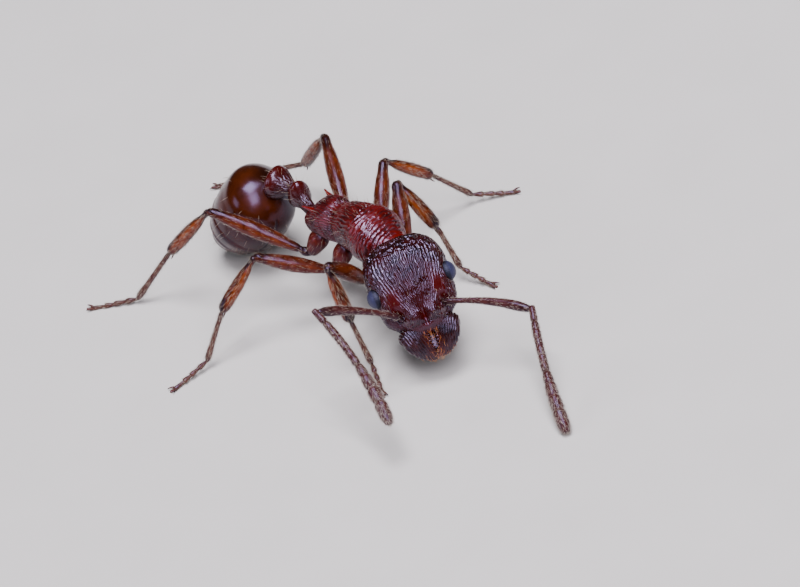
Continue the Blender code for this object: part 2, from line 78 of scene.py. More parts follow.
# trunk: level, with its middle over the ant's origin
TRUNK_HEIGHT = 1.15
TRUNK_FRONT = -0.815
TRUNK_REAR = 0.75
TRUNK_CUTS = (-0.27, 0.17)      # behind the prothorax and behind the mesothorax
SPINE_ROOT = (0.12, 0.41, 0.06)
SPINE_LENGTH = 0.23
SPINE_THICK = 0.05
SPINE_TURN = (15.0, -9.0)       # apart, and up
NECK_START = (0.0, -0.80, -0.13)    # in the trunk
NECK_END = (0.0, 0.47, -0.17)       # in the head
NECK_THICK = 0.10

# head: its middle lies between the eyes
HEAD_CENTRE = (-0.281, -1.301, 0.92)
HEAD_BOX_MIDDLE = (-0.269201553892212, -1.280226040611443, 0.9562233354782513)  # before the ant was moved
HEAD_YAW = -25.3
HEAD_PITCH = 42.0
HEAD_ROLL = -2.2
HEAD_REAR = 0.582
HEAD_FRONT = -0.51
HEAD_HALF_WIDTH = 0.480
HEAD_HALF_HEIGHT = 0.39
HEAD_SQUARENESS = 2.35
EYE_PLACE = (0.43, 0.0, 0.13)
EYE_RADII = (0.10, 0.116, 0.11)
MANDIBLE_TIP = -0.86

# antennae: from the sockets beside the frontal lobes
SOCKET = (0.25, -0.33, 0.22)
SCAPE_LENGTH = 1.03
SCAPE_BOW = 22.0
SCAPE_THICK = 0.056
ELBOW_GAP = 0.034
FUNICULUS_LENGTH = 1.60
FUNICULUS_THICK = 0.072
PEDICEL_SHARE = 0.10            # of the funiculus
CLUB_SHARE = 0.50               # the last four segments
CLUB_SHARES = (0.19, 0.21, 0.23, 0.37)
# the scape's angle out of the head's axis and its lift, then the same of the funiculus and its bow
ANTENNAE = {
    "left": (59.5, 16.0, -13.0, 15.5, -11.0),
    "right": (110.5, 27.0, -20.5, 9.0, -20.0),
}

# waist and gaster: each turns to the ant's left and down from the end of the one before it
PETIOLE_LENGTH = 0.41
PETIOLE_ROOT_HEIGHT = -0.15
PETIOLE_TURN = (165.5, -12.0)
WAIST_GAP = 0.022
WAIST_SKIN_LENGTH = 0.10
WAIST_SKIN_THICK = 0.055
POSTPETIOLE_LENGTH = 0.32
POSTPETIOLE_TURN = (26.0, 6.0)
GASTER_LENGTH = 1.30
GASTER_HALF_WIDTH = 0.465
GASTER_HALF_HEIGHT = 0.45
GASTER_SAG = 0.06
GASTER_TURN = (25.0, 49.0)
GASTER_ENDS = (0.0, 0.60, 0.76, 0.89, 1.0)      # of its four plates

# legs: lengths and greatest radii of the segments of each pair
LEG_LENGTHS = {
    "front": {"femur": 0.90, "tibia": 0.71, "tarsus": 0.55, "foot": 0.47},
    "middle": {"femur": 0.96, "tibia": 0.74, "tarsus": 0.62, "foot": 0.53},
    "hind": {"femur": 1.28, "tibia": 0.92, "tarsus": 0.81, "foot": 0.60},
}
LEG_RADII = {
    "front": {"coxa": 0.120, "femur": 0.100, "tibia": 0.082, "tarsus": 0.036, "foot": 0.030},
    "middle": {"coxa": 0.115, "femur": 0.092, "tibia": 0.074, "tarsus": 0.034, "foot": 0.029},
    "hind": {"coxa": 0.120, "femur": 0.094, "tibia": 0.076, "tarsus": 0.036, "foot": 0.030},
}
FEMUR_BOWS = {"front": -12.0, "middle": 4.0, "hind": -3.0}
CLAW_LENGTH = 0.105
CLAW_THICK = 0.013
CLAW_SPREAD = 24.0
CLAW_BOW = 60.0
CLAW_LIFT = 50.0
PAD_LENGTH = 0.055              # of the pad between the claws
PAD_THICK = 0.017
SPUR_LENGTHS = {"front": 0.16, "middle": 0.12, "hind": 0.12}
SPUR_THICK = 0.010
SPUR_BOW = 18.0
FOOT_SINK = 0.95                # how much of the last pad's radius the floor cuts off
# where each pair's coxa leaves the trunk: out from the middle, along Y, and up
COXA_ROOTS = {"front": (0.15, -0.50, 0.98), "middle": (0.16, -0.02, 0.94), "hind": (0.15, 0.40, 0.94)}
# per leg: the coxa's end, then turn and lift of femur, tibia and tarsus, then the foot's turn
# a turn of 0 points forward and 90 points out from the body
STANCE = {
    ("left", "front"): ((0.28, -0.50, 0.59), (135, 50), (21, -60), (-6, -60), 14),
    ("left", "middle"): ((0.31, 0.03, 0.65), (126, 31), (79, -46), (69, -52), 51),
    ("left", "hind"): ((0.29, 0.53, 0.67), (147, 21), (179, -47), (201, -18), 211),
    ("right", "front"): ((0.28, -0.49, 0.63), (80, 51), (13, -72), (13, -63), 29),
    ("right", "middle"): ((0.34, 0.06, 0.64), (131, 27), (106, -40), (97, -53), 97),
    ("right", "hind"): ((0.33, 0.51, 0.70), (153, 27), (152, -43), (136, -47), 138),
}
# how far apart the points of each sheet are drawn
GRAINS = {"head": 0.0077, "lip": 0.010, "eye": 0.0040, "jaw": 0.0045, "stem": 0.0085, "beads": 0.0080,
          "trunk": 0.0068, "spine": 0.010, "skin": 0.008, "waist": 0.0075, "gaster": 0.0125, "coxa": 0.011,
          "leg": 0.0105, "foot": 0.0085, "claw": 0.0045, "pad": 0.005, "spur": 0.006}
FLOOR_CLEARANCE = 0.0002        # between the soles and the floor


# ---- helpers

def frame_at(place, yaw=0.0, pitch=0.0, roll=0.0):
    """A frame at a place in mm: yaw turns to the ant's left, pitch turns the front down."""
    turn = Matrix.Rotation(math.radians(yaw), 4, "Z") @ Matrix.Rotation(math.radians(pitch), 4, "X")
    turn = turn @ Matrix.Rotation(math.radians(roll), 4, "Y")
    return Matrix.Translation(Vector(place) * MM) @ turn


def tilted(pitch):
    """A turn that brings the front down by an angle."""
    return frame_at((0.0, 0.0, 0.0), pitch=pitch)


def ahead(frame, length):
    """The point that lies a length in front of a frame."""
    return frame @ Vector((0.0, -length * MM, 0.0))


def through(points, t):
    """A smooth curve through (t, value) points, with the slope of its neighbours at each."""
    ts = np.array([p[0] for p in points], float)
    vs = np.array([p[1] for p in points], float)
    slopes = np.gradient(vs, ts)
    k = np.clip(np.searchsorted(ts, t, side="right") - 1, 0, len(ts) - 2)
    step = ts[k + 1] - ts[k]
    u = held((t - ts[k]) / step)
    start = (1 + 2 * u) * (1 - u) ** 2 * vs[k] + u * (1 - u) ** 2 * step * slopes[k]
    end = u * u * (3 - 2 * u) * vs[k + 1] + u * u * (u - 1) * step * slopes[k + 1]
    return start + end


def rounded(t, power):
    """1 along the middle of a body and 0 at both of its ends."""
    return held(1.0 - np.abs(2.0 * t - 1.0) ** power) ** (1.0 / power)


def oval(angle, squareness=2.0):
    """Across and up on a unit section: 2 is an ellipse, and more is nearer to a box."""
    c, s = np.cos(angle), np.sin(angle)
    across = np.sign(c) * np.abs(c) ** (2.0 / squareness)
    up = np.sign(s) * np.abs(s) ** (2.0 / squareness)
    return across, up


def bump(x, y, centre, size):
    """A soft mound of height 1 round a centre."""
    return np.exp(-((x - centre[0]) / size[0]) ** 2 - ((y - centre[1]) / size[1]) ** 2)


def arc(t, length, bow):
    """Points and up directions along a curve that starts forward and bends up by an angle."""
    angle = math.radians(bow) * t
    if bow:
        radius = length / math.radians(bow)
        forward, rise = radius * np.sin(angle), radius * (1.0 - np.cos(angle))
    else:
        forward, rise = length * t, np.zeros_like(t)
    points = np.stack([np.zeros_like(t), -forward, rise], 1)
    up = np.stack([np.zeros_like(t), np.sin(angle), np.cos(angle)], 1)
    return points, up


def arc_over(chord, bow):
    """The length of an arc that bends by an angle between two points a chord apart."""
    half = math.radians(bow) / 2.0
    return chord * half / math.sin(half) if bow else chord


def slope(value, start, end):
    """0 at a start and 1 at an end, with a soft step between them."""
    u = held((value - start) / (end - start))
    return u * u * (3.0 - 2.0 * u)


def held(value):
    """A value held between 0 and 1."""
    return np.clip(value, 0.0, 1.0)


def swell(turns):
    """A wave between 0 and 1, with a crest at every whole turn."""
    return 0.5 + 0.5 * np.cos(2.0 * math.pi * turns)


def wander(points, size, seed):
    """A smooth wavy field of about -1 to 1, whose waves are about a size long."""
    rng = np.random.default_rng(seed)
    total = np.zeros(len(points))
    for _ in range(10):
        way = rng.normal(size=3)
        way *= rng.uniform(0.7, 1.5) / np.linalg.norm(way)
        total += np.sin(2.0 * math.pi / size * points @ way + rng.uniform(0.0, 2.0 * math.pi))
    return total / 3.2


def read_points(mesh):
    points = np.empty(len(mesh.vertices) * 3)
    mesh.vertices.foreach_get("co", points)
    return points.reshape(-1, 3)


def write_points(mesh, points):
    mesh.vertices.foreach_set("co", np.ascontiguousarray(points, dtype=np.float32).ravel())
    mesh.update()


def mark(mesh, name, values):
    """A value at every point that the materials read."""
    layer = mesh.attributes.new(name, "FLOAT", "POINT")
    layer.data.foreach_set("value", np.ascontiguousarray(values, dtype=np.float32))


def let_go():
    """Deselect all, so that the next operator takes only its own piece."""
    bpy.ops.object.select_all(action="DESELECT")


def join(pieces):
    """Pieces as one mesh, in the last of them."""
    let_go()
    for item in pieces:
        item.select_set(True)
    bpy.context.view_layer.objects.active = pieces[-1]
    bpy.ops.object.join()
    return pieces[-1]


def turn_outwards(piece):
    """Flip the faces of a closed mesh that has come out inside out."""
    mesh = piece.data
    mesh.calc_loop_triangles()
    corners = np.empty(len(mesh.loop_triangles) * 3, dtype=np.int32)
    mesh.loop_triangles.foreach_get("vertices", corners)
    a, b, c = read_points(mesh)[corners.reshape(-1, 3)].transpose(1, 0, 2)
    if np.einsum("ij,ij->i", a, np.cross(b, c)).sum() < 0.0:
        bpy.ops.object.mode_set(mode="EDIT")
        bpy.ops.mesh.select_all(action="SELECT")
        bpy.ops.mesh.flip_normals()
        bpy.ops.object.mode_set(mode="OBJECT")


def cut_across(keep):
    """Cut the piece at hand across Y, at a low and a high mark, and close the cuts."""
    bpy.ops.object.mode_set(mode="EDIT")
    for height, outward in zip(keep, (-1.0, 1.0)):
        if height is not None:
            bpy.ops.mesh.select_all(action="SELECT")
            bpy.ops.mesh.bisect(plane_co=(0.0, height, 0.0), plane_no=(0.0, outward, 0.0), use_fill=True,
                                clear_outer=True)
    bpy.ops.object.mode_set(mode="OBJECT")
    bpy.ops.object.shade_smooth_by_angle(angle=math.radians(60.0))


def to_world(points, place):
    """Points in mm in a frame, as points in metres in the row's frame."""
    turn = np.array(place.to_3x3())
    return points * MM @ turn.T + np.array(place.translation)


def roll_up_ball(name, sides, rings):
    """A ball from a flat grid, rolled up and then merged along its seam and at its poles."""
    let_go()
    bpy.ops.mesh.primitive_grid_add(x_subdivisions=sides, y_subdivisions=rings, size=2.0, calc_uvs=False)
    ball = bpy.context.object
    ball.name = name
    ball.data.name = name
    flat = read_points(ball.data)
    angle = math.pi * flat[:, 0]
    polar = math.pi * (flat[:, 1] + 1.0) / 2.0
    width = np.sin(polar)
    write_points(ball.data, np.stack([width * np.cos(angle), width * np.sin(angle), np.cos(polar)], 1))
    bpy.ops.object.mode_set(mode="EDIT")
    bpy.ops.mesh.select_all(action="SELECT")
    bpy.ops.mesh.remove_doubles(threshold=1e-5)
    bpy.ops.object.mode_set(mode="OBJECT")
    return ball


class Form:
    """A part of the body as a closed sheet round an axis, from pole to pole.

    place takes t, 0 at the first pole and 1 at the last, and the angle round the axis, and gives
    points in mm in the part's own frame. u is the share of the way along the sheet itself.
    """

    def __init__(self, place, stand):
        self.place = place
        self.stand = stand
        self.ts = (1.0 - np.cos(np.linspace(0.0, math.pi, 1500))) / 2.0
        steps = np.zeros(len(self.ts) - 1)
        for angle in np.linspace(0.0, 2.0 * math.pi, 8, endpoint=False):
            line = place(self.ts, np.full_like(self.ts, angle))
            steps += np.linalg.norm(np.diff(line, axis=0), axis=1) / 8.0
        self.length = steps.sum()
        self.shares = np.concatenate([[0.0], np.cumsum(steps)]) / self.length
        ring = np.linspace(0.0, 2.0 * math.pi, 65)
        self.girth = 0.0
        for u in (0.3, 0.4, 0.5, 0.6, 0.7):
            hoop = self.at(np.full_like(ring, u), ring)
            self.girth = max(self.girth, np.linalg.norm(np.diff(hoop, axis=0), axis=1).sum())

    def at(self, u, angle):
        return self.place(np.interp(u, self.shares, self.ts), angle)

    def shape(self, name, grain, relief=None, keep=(None, None), focus=0.0):
        """The sheet as a mesh, from a ball whose rings are moved to it.

        relief takes the points, t and the angle, and gives how far each moves out of the skin,
        and the marks that the materials read. keep is the stretch along Y that is left. focus
        draws the sheet's lines together along the top, and apart below.
        """
        piece = roll_up_ball(name, max(10, round(self.girth / grain)), max(8, round(self.length / grain)))
        unit = read_points(piece.data)
        u = np.arccos(np.clip(unit[:, 2], -1.0, 1.0)) / math.pi
        angle = np.arctan2(unit[:, 1], unit[:, 0])
        angle = (angle + focus * np.cos(angle) + math.pi) % (2.0 * math.pi) - math.pi
        points = self.at(u, angle)
        write_points(piece.data, points)
        turn_outwards(piece)
        if relief:
            normals = np.empty(len(points) * 3)
            piece.data.vertex_normals.foreach_get("vector", normals)
            height, marks = relief(points, np.interp(u, self.shares, self.ts), angle)
            points = points + normals.reshape(-1, 3) * height[:, None]
            for key, values in marks.items():
                mark(piece.data, key, values)
        bpy.ops.object.shade_smooth()
        if keep != (None, None):
            write_points(piece.data, points)
            cut_across(keep)
            points = read_points(piece.data)
        write_points(piece.data, to_world(points, self.stand))
        return piece

    def roots(self, count, rng, where=None):
        """Random places for hairs: the points, the normals, the way to the far end, and u and angle."""
        tries = 12 * count + 8000
        u = rng.uniform(0.01, 0.99, tries)
        angle = rng.uniform(-math.pi, math.pi, tries)
        step = 1e-3
        along = self.at(u + step, angle) - self.at(u - step, angle)
        around = self.at(u, angle + step) - self.at(u, angle - step)
        points = self.at(u, angle)
        normals = np.cross(along, around)
        sizes = np.linalg.norm(normals, axis=1) + 1e-12
        if np.einsum("ij,ij->i", normals, points - points.mean(0)).sum() < 0.0:
            normals = -normals
        weights = sizes.copy()
        if where:
            weights = weights * where(points, np.interp(u, self.shares, self.ts), angle)
        picked = rng.choice(len(u), size=count, replace=False, p=weights / weights.sum())
        turn = np.array(self.stand.to_3x3())
        lies = along / (np.linalg.norm(along, axis=1)[:, None] + 1e-12)
        return (to_world(points[picked], self.stand), (normals / sizes[:, None])[picked] @ turn.T,
                lies[picked] @ turn.T, u[picked], angle[picked])


# ---- finishes

def tone(code):
    """A hex colour as the linear colour that a shader takes."""
    parts = [int(code[i:i + 2], 16) / 255.0 for i in (1, 3, 5)]
    return (*[p / 12.92 if p <= 0.04045 else ((p + 0.055) / 1.055) ** 2.4 for p in parts], 1.0)


def node(tree, kind, inputs=None, out=0, **settings):
    """A node with its settings and inputs, where an input that is a socket is linked; gives one output."""
    item = tree.nodes.new("ShaderNode" + kind)
    for key, value in settings.items():
        setattr(item, key, value)
    for key, value in (inputs or {}).items():
        if isinstance(value, bpy.types.NodeSocket):
            tree.links.new(value, item.inputs[key])
        else:
            item.inputs[key].default_value = value
    return item.outputs[out]


def blank(name, **fixed):
    """A material with its shader, the place on the piece, and the constants that are the same all over it."""
    material = bpy.data.materials.new(name)
    material.use_nodes = True
    tree = material.node_tree
    shader = tree.nodes["Principled BSDF"]
    for key, value in fixed.items():
        shader.inputs[key.replace("_", " ")].default_value = value
    return tree, shader, node(tree, "TexCoord", out="Object"), material


def lay_on(tree, shader, base, layers, rough=None, dents=None):
    """A base colour with others laid over it, each by a share, then the roughness and the fine dents.

    dents is a height, a strength and a depth in mm.
    """
    for share, colour in layers:
        base = node(tree, "Mix", {0: share, 6: base, 7: tone(colour)}, 2, data_type="RGBA")
    tree.links.new(base, shader.inputs["Base Color"])
    if rough:
        tree.links.new(rough, shader.inputs["Roughness"])
    if dents:
        height, strength, depth = dents
        bump_node = node(tree, "Bump", {"Height": height, "Strength": strength, "Distance": depth * MM})
        tree.links.new(bump_node, shader.inputs["Normal"])


def sculptured_cuticle(name, groove, crest, bare, tint, roughness, level):
    """Chitin carved in ridges: near-black in the grooves as painted shade, lighter on the crests in part as a
    painted highlight, and smooth where it is bare.

    The eye sees a dull dark ground with a glint along each crest. The fine grain is the print of the
    skin's own cells, 90 to the mm, and the clouds are the uneven tan of the shell.
    """
    tree, shader, place, material = blank(name, IOR=1.56, Specular_IOR_Level=level, Specular_Tint=tone(tint))
    carved = node(tree, "Attribute", out="Fac", attribute_name="crest")
    smooth = node(tree, "Attribute", out="Fac", attribute_name="bare")
    cloud = node(tree, "TexNoise", {"Vector": place, "Scale": 7.0 * PER_MM, "Detail": 3.0})
    grain = node(tree, "TexVoronoi", {"Vector": place, "Scale": 90.0 * PER_MM})
    patchy = node(tree, "MapRange", {0: cloud, 1: 0.35, 2: 0.65, 4: 0.45})
    dull = node(tree, "MapRange", {0: carved, 1: 0.2, 2: 0.7, 3: 0.30, 4: roughness})
    uneven = node(tree, "MapRange", {0: cloud, 1: 0.3, 2: 0.7, 3: -0.05, 4: 0.07})
    rough = node(tree, "Math", {0: dull, 1: uneven}, operation="ADD")
    # the groove colour is painted shade, and the crest colour laid by the crest mark is in part a painted
    # highlight
    layers = [(carved, crest), (patchy, bare), (smooth, bare)]
    lay_on(tree, shader, tone(groove), layers, rough, (grain, 0.35, 0.0016))
    return material


def smooth_cuticle(name, dark, middle, light, tint, kind):
    """Chitin without ridges: a clouded ground that is darker where its shade mark is, which holds real dark
    joints and painted shade.

    On the gaster the eye sees a clear glossy skin over red-brown, with a fine net in it, and painted shade on
    the belly. The legs are amber along the sides, and duller and darker at the ends, where the joints are
    dark, and painted shade darkens their back and underneath. The net is the print of the skin's own cells.
    """
    ior, level, clouds, cells, feature, edges, gloss, dents = SMOOTH_KINDS[kind]
    tree, shader, place, material = blank(name, IOR=ior, Specular_IOR_Level=level, Specular_Tint=tone(tint))
    # the shade mark: real dark joints, and painted shade on the limbs' backs and undersides, on the gaster
    # and in the neck folds
    shade = node(tree, "Attribute", out="Fac", attribute_name="shade")
    cloud = node(tree, "TexNoise", {"Vector": place, "Scale": clouds * PER_MM, "Detail": 3.0})
    net = node(tree, "TexVoronoi", {"Vector": place, "Scale": cells * PER_MM}, feature=feature)
    patchy = node(tree, "MapRange", {0: cloud, 1: edges[0], 2: edges[1]})
    rough = node(tree, "MapRange", {0: cloud, 1: 0.3, 2: 0.7, 3: gloss[0], 4: gloss[1]})
    lay_on(tree, shader, tone(middle), [(patchy, light), (shade, dark)], rough, (net, *dents))
    return material


def eye_cornea(name, pigment, painted_reflection, tint):
    """The clear lenses of the eye over black pigment, with a painted slate-blue reflection on them that fades
    into painted shade at the edge next to the head and on the lower part.
    """
    tree, shader, _, material = blank(name, IOR=1.6, Specular_IOR_Level=0.45, Specular_Tint=tone(tint))
    lens = node(tree, "Attribute", out="Fac", attribute_name="crest")
    rough = node(tree, "MapRange", {0: lens, 3: 0.55, 4: 0.46})
    lay_on(tree, shader, tone(pigment), [(lens, painted_reflection)], rough)
    return material


def hair_horn(name, root, tip):
    """The horn of a hair: clear and pale, a little darker in some than in others."""
    tree, shader, place, material = blank(name, IOR=1.54, Roughness=0.42)
    cloud = node(tree, "TexNoise", {"Vector": place, "Scale": 18.0 * PER_MM, "Detail": 1.0})
    far = node(tree, "Attribute", out="Fac", attribute_name="far")
    darker = node(tree, "MapRange", {0: cloud, 1: 0.35, 2: 0.65, 4: 0.5})
    lay_on(tree, shader, tone(root), [(far, tip), (darker, root)])
    return material


# smooth chitin: IOR, strength of the gloss, clouds and cells to the mm, how the cells are drawn, where the
# clouds' edges lie, the roughness from and to, and the dents' strength and depth
SMOOTH_KINDS = {
    "polished": (1.5, 0.36, 4.0, 70.0, "DISTANCE_TO_EDGE", (0.32, 0.68), (0.16, 0.26), (0.12, 0.0015)),
    "limb": (1.52, 0.31, 14.0, 85.0, "F1", (0.3, 0.7), (0.24, 0.38), (0.3, 0.0014)),
}
# how each finish is made, its name, its colours from dark to light and then of its gloss, and for
# carved chitin the roughness of the crests and how strong the gloss is. In carved chitin the darkest colour
# is painted shade in the grooves and the crest colour is in part a painted highlight; the eye's lighter
# colour is a painted reflection; the smooth finishes' darkest colour lies where their joints are really dark
# and where there is painted shade
FINISHES = {
    "head": (sculptured_cuticle, "head_chitin", "#010000", "#190503", "#3E0501", "#DACCFA", 0.155, 0.58),
    "jaw": (sculptured_cuticle, "jaw_chitin", "#010000", "#220702", "#401002", "#DACCFA", 0.16, 0.47),
    "trunk": (sculptured_cuticle, "trunk_chitin", "#0A0100", "#4E0602", "#680901", "#F0D8FF", 0.20, 0.64),
    "waist": (sculptured_cuticle, "waist_chitin", "#0A0101", "#280503", "#3C0702", "#E6DCFF", 0.20, 0.55),
    "gaster": (smooth_cuticle, "gaster_chitin", "#090200", "#260B01", "#3F1702", "#D2C6FF", "polished"),
    "coxa": (smooth_cuticle, "coxa_chitin", "#1C0503", "#40100A", "#541808", "#DCCBFF", "limb"),
    "femur": (smooth_cuticle, "femur_chitin", "#140401", "#421504", "#602806", "#DCCBFF", "limb"),
    "leg": (smooth_cuticle, "tibia_chitin", "#180501", "#5A2400", "#803A02", "#DCCBFF", "limb"),
    "foot": (smooth_cuticle, "foot_chitin", "#1E0E0B", "#42241C", "#5A382A", "#DCCBFF", "limb"),
    "feeler": (smooth_cuticle, "feeler_chitin", "#140707", "#341815", "#46211B", "#D2C6FF", "limb"),
    "membrane": (smooth_cuticle, "joint_membrane", "#2C1410", "#6E4638", "#8A6050", "#F0E8FF", "limb"),
    "eye": (eye_cornea, "eye_cornea", "#020204", "#2C2C46", "#C8C8F4"),
    "hair": (hair_horn, "pale_hair", "#8E7A64", "#CFC6B8"),
    "fringe": (hair_horn, "feeler_hair", "#8E7C6C", "#E8DCD0"),
    "jaw_hair": (hair_horn, "orange_hair", "#B4561A", "#E6B070"),
}
MATERIALS = {key: make(*facts) for key, (make, *facts) in FINISHES.items()}


def dress(piece, finish, slot, *nodes):
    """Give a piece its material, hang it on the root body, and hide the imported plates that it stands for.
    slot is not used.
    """
    piece.data.materials.clear()
    piece.data.materials.append(MATERIALS[finish])
    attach(piece, "root")
    if nodes:
        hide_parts(*nodes)
    return piece


def clad(form, name, grain, relief, finish, slot, *nodes, **more):
    """A form's sheet as a dressed piece."""
    return dress(form.shape(name, GRAINS[grain], relief, **more), finish, slot, *nodes)


# ---- hairs

def model_hair():
    """One hair, modelled once: a three-sided spike in three lengths, a unit long and wide."""
    let_go()
    bpy.ops.mesh.primitive_cone_add(vertices=3, radius1=1.0, radius2=0.0, depth=1.0, calc_uvs=False,
                                    location=(0.0, 0.0, 0.5))
    hair = bpy.context.object
    bpy.ops.object.transform_apply(location=True)
    bpy.ops.object.mode_set(mode="EDIT")
    for height in (0.35, 0.7):
        bpy.ops.mesh.select_all(action="SELECT")
        bpy.ops.mesh.bisect(plane_co=(0.0, 0.0, height), plane_no=(0.0, 0.0, 1.0))
    bpy.ops.object.mode_set(mode="OBJECT")
    points = read_points(hair.data)
    faces = [list(face.vertices) for face in hair.data.polygons]
    bpy.data.objects.remove(hair)
    widths = {0.0: 1.0, 0.35: 0.85, 0.7: 0.55, 1.0: 0.0}
    for point in points:
        width = widths[min(widths, key=lambda height: abs(height - point[2]))]
        size = math.hypot(point[0], point[1])
        if size > 1e-6:
            point[:2] *= width / size
    return points, faces


HAIR_POINTS, HAIR_FACES = model_hair()
PATCH = 0.003                   # how wide a hair's patch is on the coat's map
HAIR_SINK = 0.002               # how deep a hair's root stands in the skin
HAIR_CLEARANCE = 0.001          # between hairs and the floor
LIFT_SPREAD = 9.0
AIM_SPREAD = 0.16


def lay_coat(name, beds, thick, finish, slot, seed):
    """One mesh of many hairs, on a list of beds.

    A bed is a form, a count, a length, a lift off the skin, a bend back towards it, and where.
    Each bed has a strip of the coat's map, and each hair a patch at its root's place there.
    """
    rng = np.random.default_rng(seed)
    shapes, patches = [], []
    for index, (form, count, length, lift, bend, where) in enumerate(beds):
        points, normals, lies, u, angle = form.roots(count, rng, where)
        lies = lies - normals * np.einsum("ij,ij->i", lies, normals)[:, None]
        lies /= np.linalg.norm(lies, axis=1)[:, None] + 1e-12
        lifts = np.radians(lift + rng.normal(size=count) * LIFT_SPREAD)[:, None]
        aims = lies * np.cos(lifts) + normals * np.sin(lifts) + rng.normal(size=(count, 3)) * AIM_SPREAD
        aims /= np.linalg.norm(aims, axis=1)[:, None]
        across = np.cross(aims, normals + rng.normal(size=(count, 3)) * 0.01)
        across /= np.linalg.norm(across, axis=1)[:, None] + 1e-12
        third = np.cross(aims, across)
        sizes = length * MM * rng.uniform(0.7, 1.15, count)
        far = HAIR_POINTS[:, 2]
        spine = aims[:, None, :] * far[None, :, None]
        spine = spine + (lies - aims)[:, None, :] * (bend * far ** 2)[None, :, None]
        wide = across[:, None, :] * HAIR_POINTS[None, :, 0, None]
        wide = wide + third[:, None, :] * HAIR_POINTS[None, :, 1, None]
        hairs = points[:, None, :] - normals[:, None, :] * HAIR_SINK * MM + spine * sizes[:, None, None]
        hairs = hairs + wide * thick * MM
        hairs[:, :, 2] = np.maximum(hairs[:, :, 2], HAIR_CLEARANCE * MM)
        shapes.append(hairs.reshape(-1, 3))
        root = np.stack([(angle / (2.0 * math.pi)) % 1.0, (index + u) / len(beds)], 1)
        patch = np.stack([HAIR_POINTS[:, 0], 2.0 * far - 1.0], 1) * PATCH / 2.0
        patches.append((0.01 + 0.98 * root[:, None, :] + patch[None, :, :]).reshape(-1, 2))
    points = np.concatenate(shapes)
    patches = np.concatenate(patches)
    size = len(HAIR_POINTS)
    faces = []
    for start in range(0, len(points), size):
        faces.extend([[start + corner for corner in face] for face in HAIR_FACES])
    mesh = bpy.data.meshes.new(name)
    mesh.from_pydata(points, [], faces)
    corners = np.empty(len(mesh.loops), dtype=np.int32)
    mesh.loops.foreach_get("vertex_index", corners)
    chart = mesh.uv_layers.new(name="OFBake")
    chart.data.foreach_set("uv", patches[corners].astype(np.float32).ravel())
    mark(mesh, "far", np.tile(HAIR_POINTS[:, 2], len(points) // size))
    mesh.shade_smooth()
    piece = bpy.data.objects.new(name, mesh)
    bpy.context.scene.collection.objects.link(piece)
    return dress(piece, finish, slot)


# ---- where the ant stands

def find_stand():
    """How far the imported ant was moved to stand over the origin: from its head's box."""
    low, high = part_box("head")
    middle = (np.array(low) + np.array(high)) / 2.0
    return Matrix.Translation(Vector(middle - np.array(HEAD_BOX_MIDDLE) * MM))


# ---- head

RUGA = 0.047                    # from one ridge of the face to the next
RUGA_HEIGHT = 0.0165
LINK = 0.055                    # from one cross link between the ridges to the next
NET = 0.050                     # the mesh of the net on the rear rim, wider than in life so that it shows
SOCKET_PIT = ((0.275, -0.335), (0.060, 0.080))     # middle and size, beside the midline and along Y
FRONT_NOTCH = ((0.0, -0.41), (0.024, 0.085))       # between the frontal lobes
RIM_PLACE = (0.262, -0.335, 0.200)  # of the ring round an antenna's root
RIM_TILT = 28.0
RIM_RADIUS = 0.043
RIM_THICK = 0.011


def head_surface(t, angle):
    """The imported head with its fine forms: lobes with sharp sides, sockets, frontal triangle, clypeus."""
    y = HEAD_REAR + (HEAD_FRONT - HEAD_REAR) * t
    power = 2.8 + 2.3 * t
    end = rounded(t, power)
    narrower = through([(0, 1.0), (0.3, 1.0), (0.5, 0.985), (0.7, 0.955), (0.85, 0.915), (1, 0.86)], t)
    half = HEAD_HALF_WIDTH * (rounded(t, 2.8 + 1.2 * t) * narrower)
    roof = HEAD_HALF_HEIGHT * end * through([(0, 0.92), (0.25, 1.0), (0.5, 1.02), (0.75, 0.88), (1, 0.56)], t)
    floor = HEAD_HALF_HEIGHT * end * through([(0, 0.85), (0.3, 0.95), (0.7, 0.86), (1, 0.60)], t)
    across, up = oval(angle, HEAD_SQUARENESS)
    x = half * across
    z = np.where(up > 0, roof, floor) * up
    side = np.abs(x)
    front = slope(t, 0.80, 1.0)
    y = y + front * (0.45 * side ** 2 - 0.085 * held(up) * slope(side, 0.30, 0.10))
    top = held(up) ** 0.5
    lobes = 0.100 * bump(side, y, (0.114, -0.415), (0.072, 0.115)) * slope(side, 0.235, 0.195)
    lobes = lobes * slope(y, -0.500, -0.455)
    pits = 0.085 * bump(side, y, *SOCKET_PIT)
    triangle = 0.034 * bump(side, y, *FRONT_NOTCH)
    clypeus = 0.030 * bump(side, y, (0.0, -0.51), (0.19, 0.045))
    crease = 0.020 * np.exp(-((y + 0.485 - 0.25 * side) / 0.012) ** 2) * slope(side, 0.27, 0.2)
    z = z + top * (lobes - pits - triangle + clypeus - crease)
    return np.stack([x, y, z], 1)


def around_eye(p):
    """1 on the eye's outline and less inside it, on the cheek of either side."""
    far = np.hypot(p[:, 1] / EYE_RADII[1], (p[:, 2] - EYE_PLACE[2]) / EYE_RADII[2])
    return np.where(np.abs(p[:, 0]) > 0.3, far, 9.0)


def girth_table():
    """The way round the head's section from the middle of the face, for every angle."""
    angles = np.linspace(-math.pi, math.pi, 721)
    across, up = oval(angles, HEAD_SQUARENESS)
    steps = np.hypot(np.diff(HEAD_HALF_WIDTH * across), np.diff(HEAD_HALF_HEIGHT * up))
    way = np.concatenate([[0.0], np.cumsum(steps)])
    return angles, way - np.interp(math.pi / 2.0, angles, way)


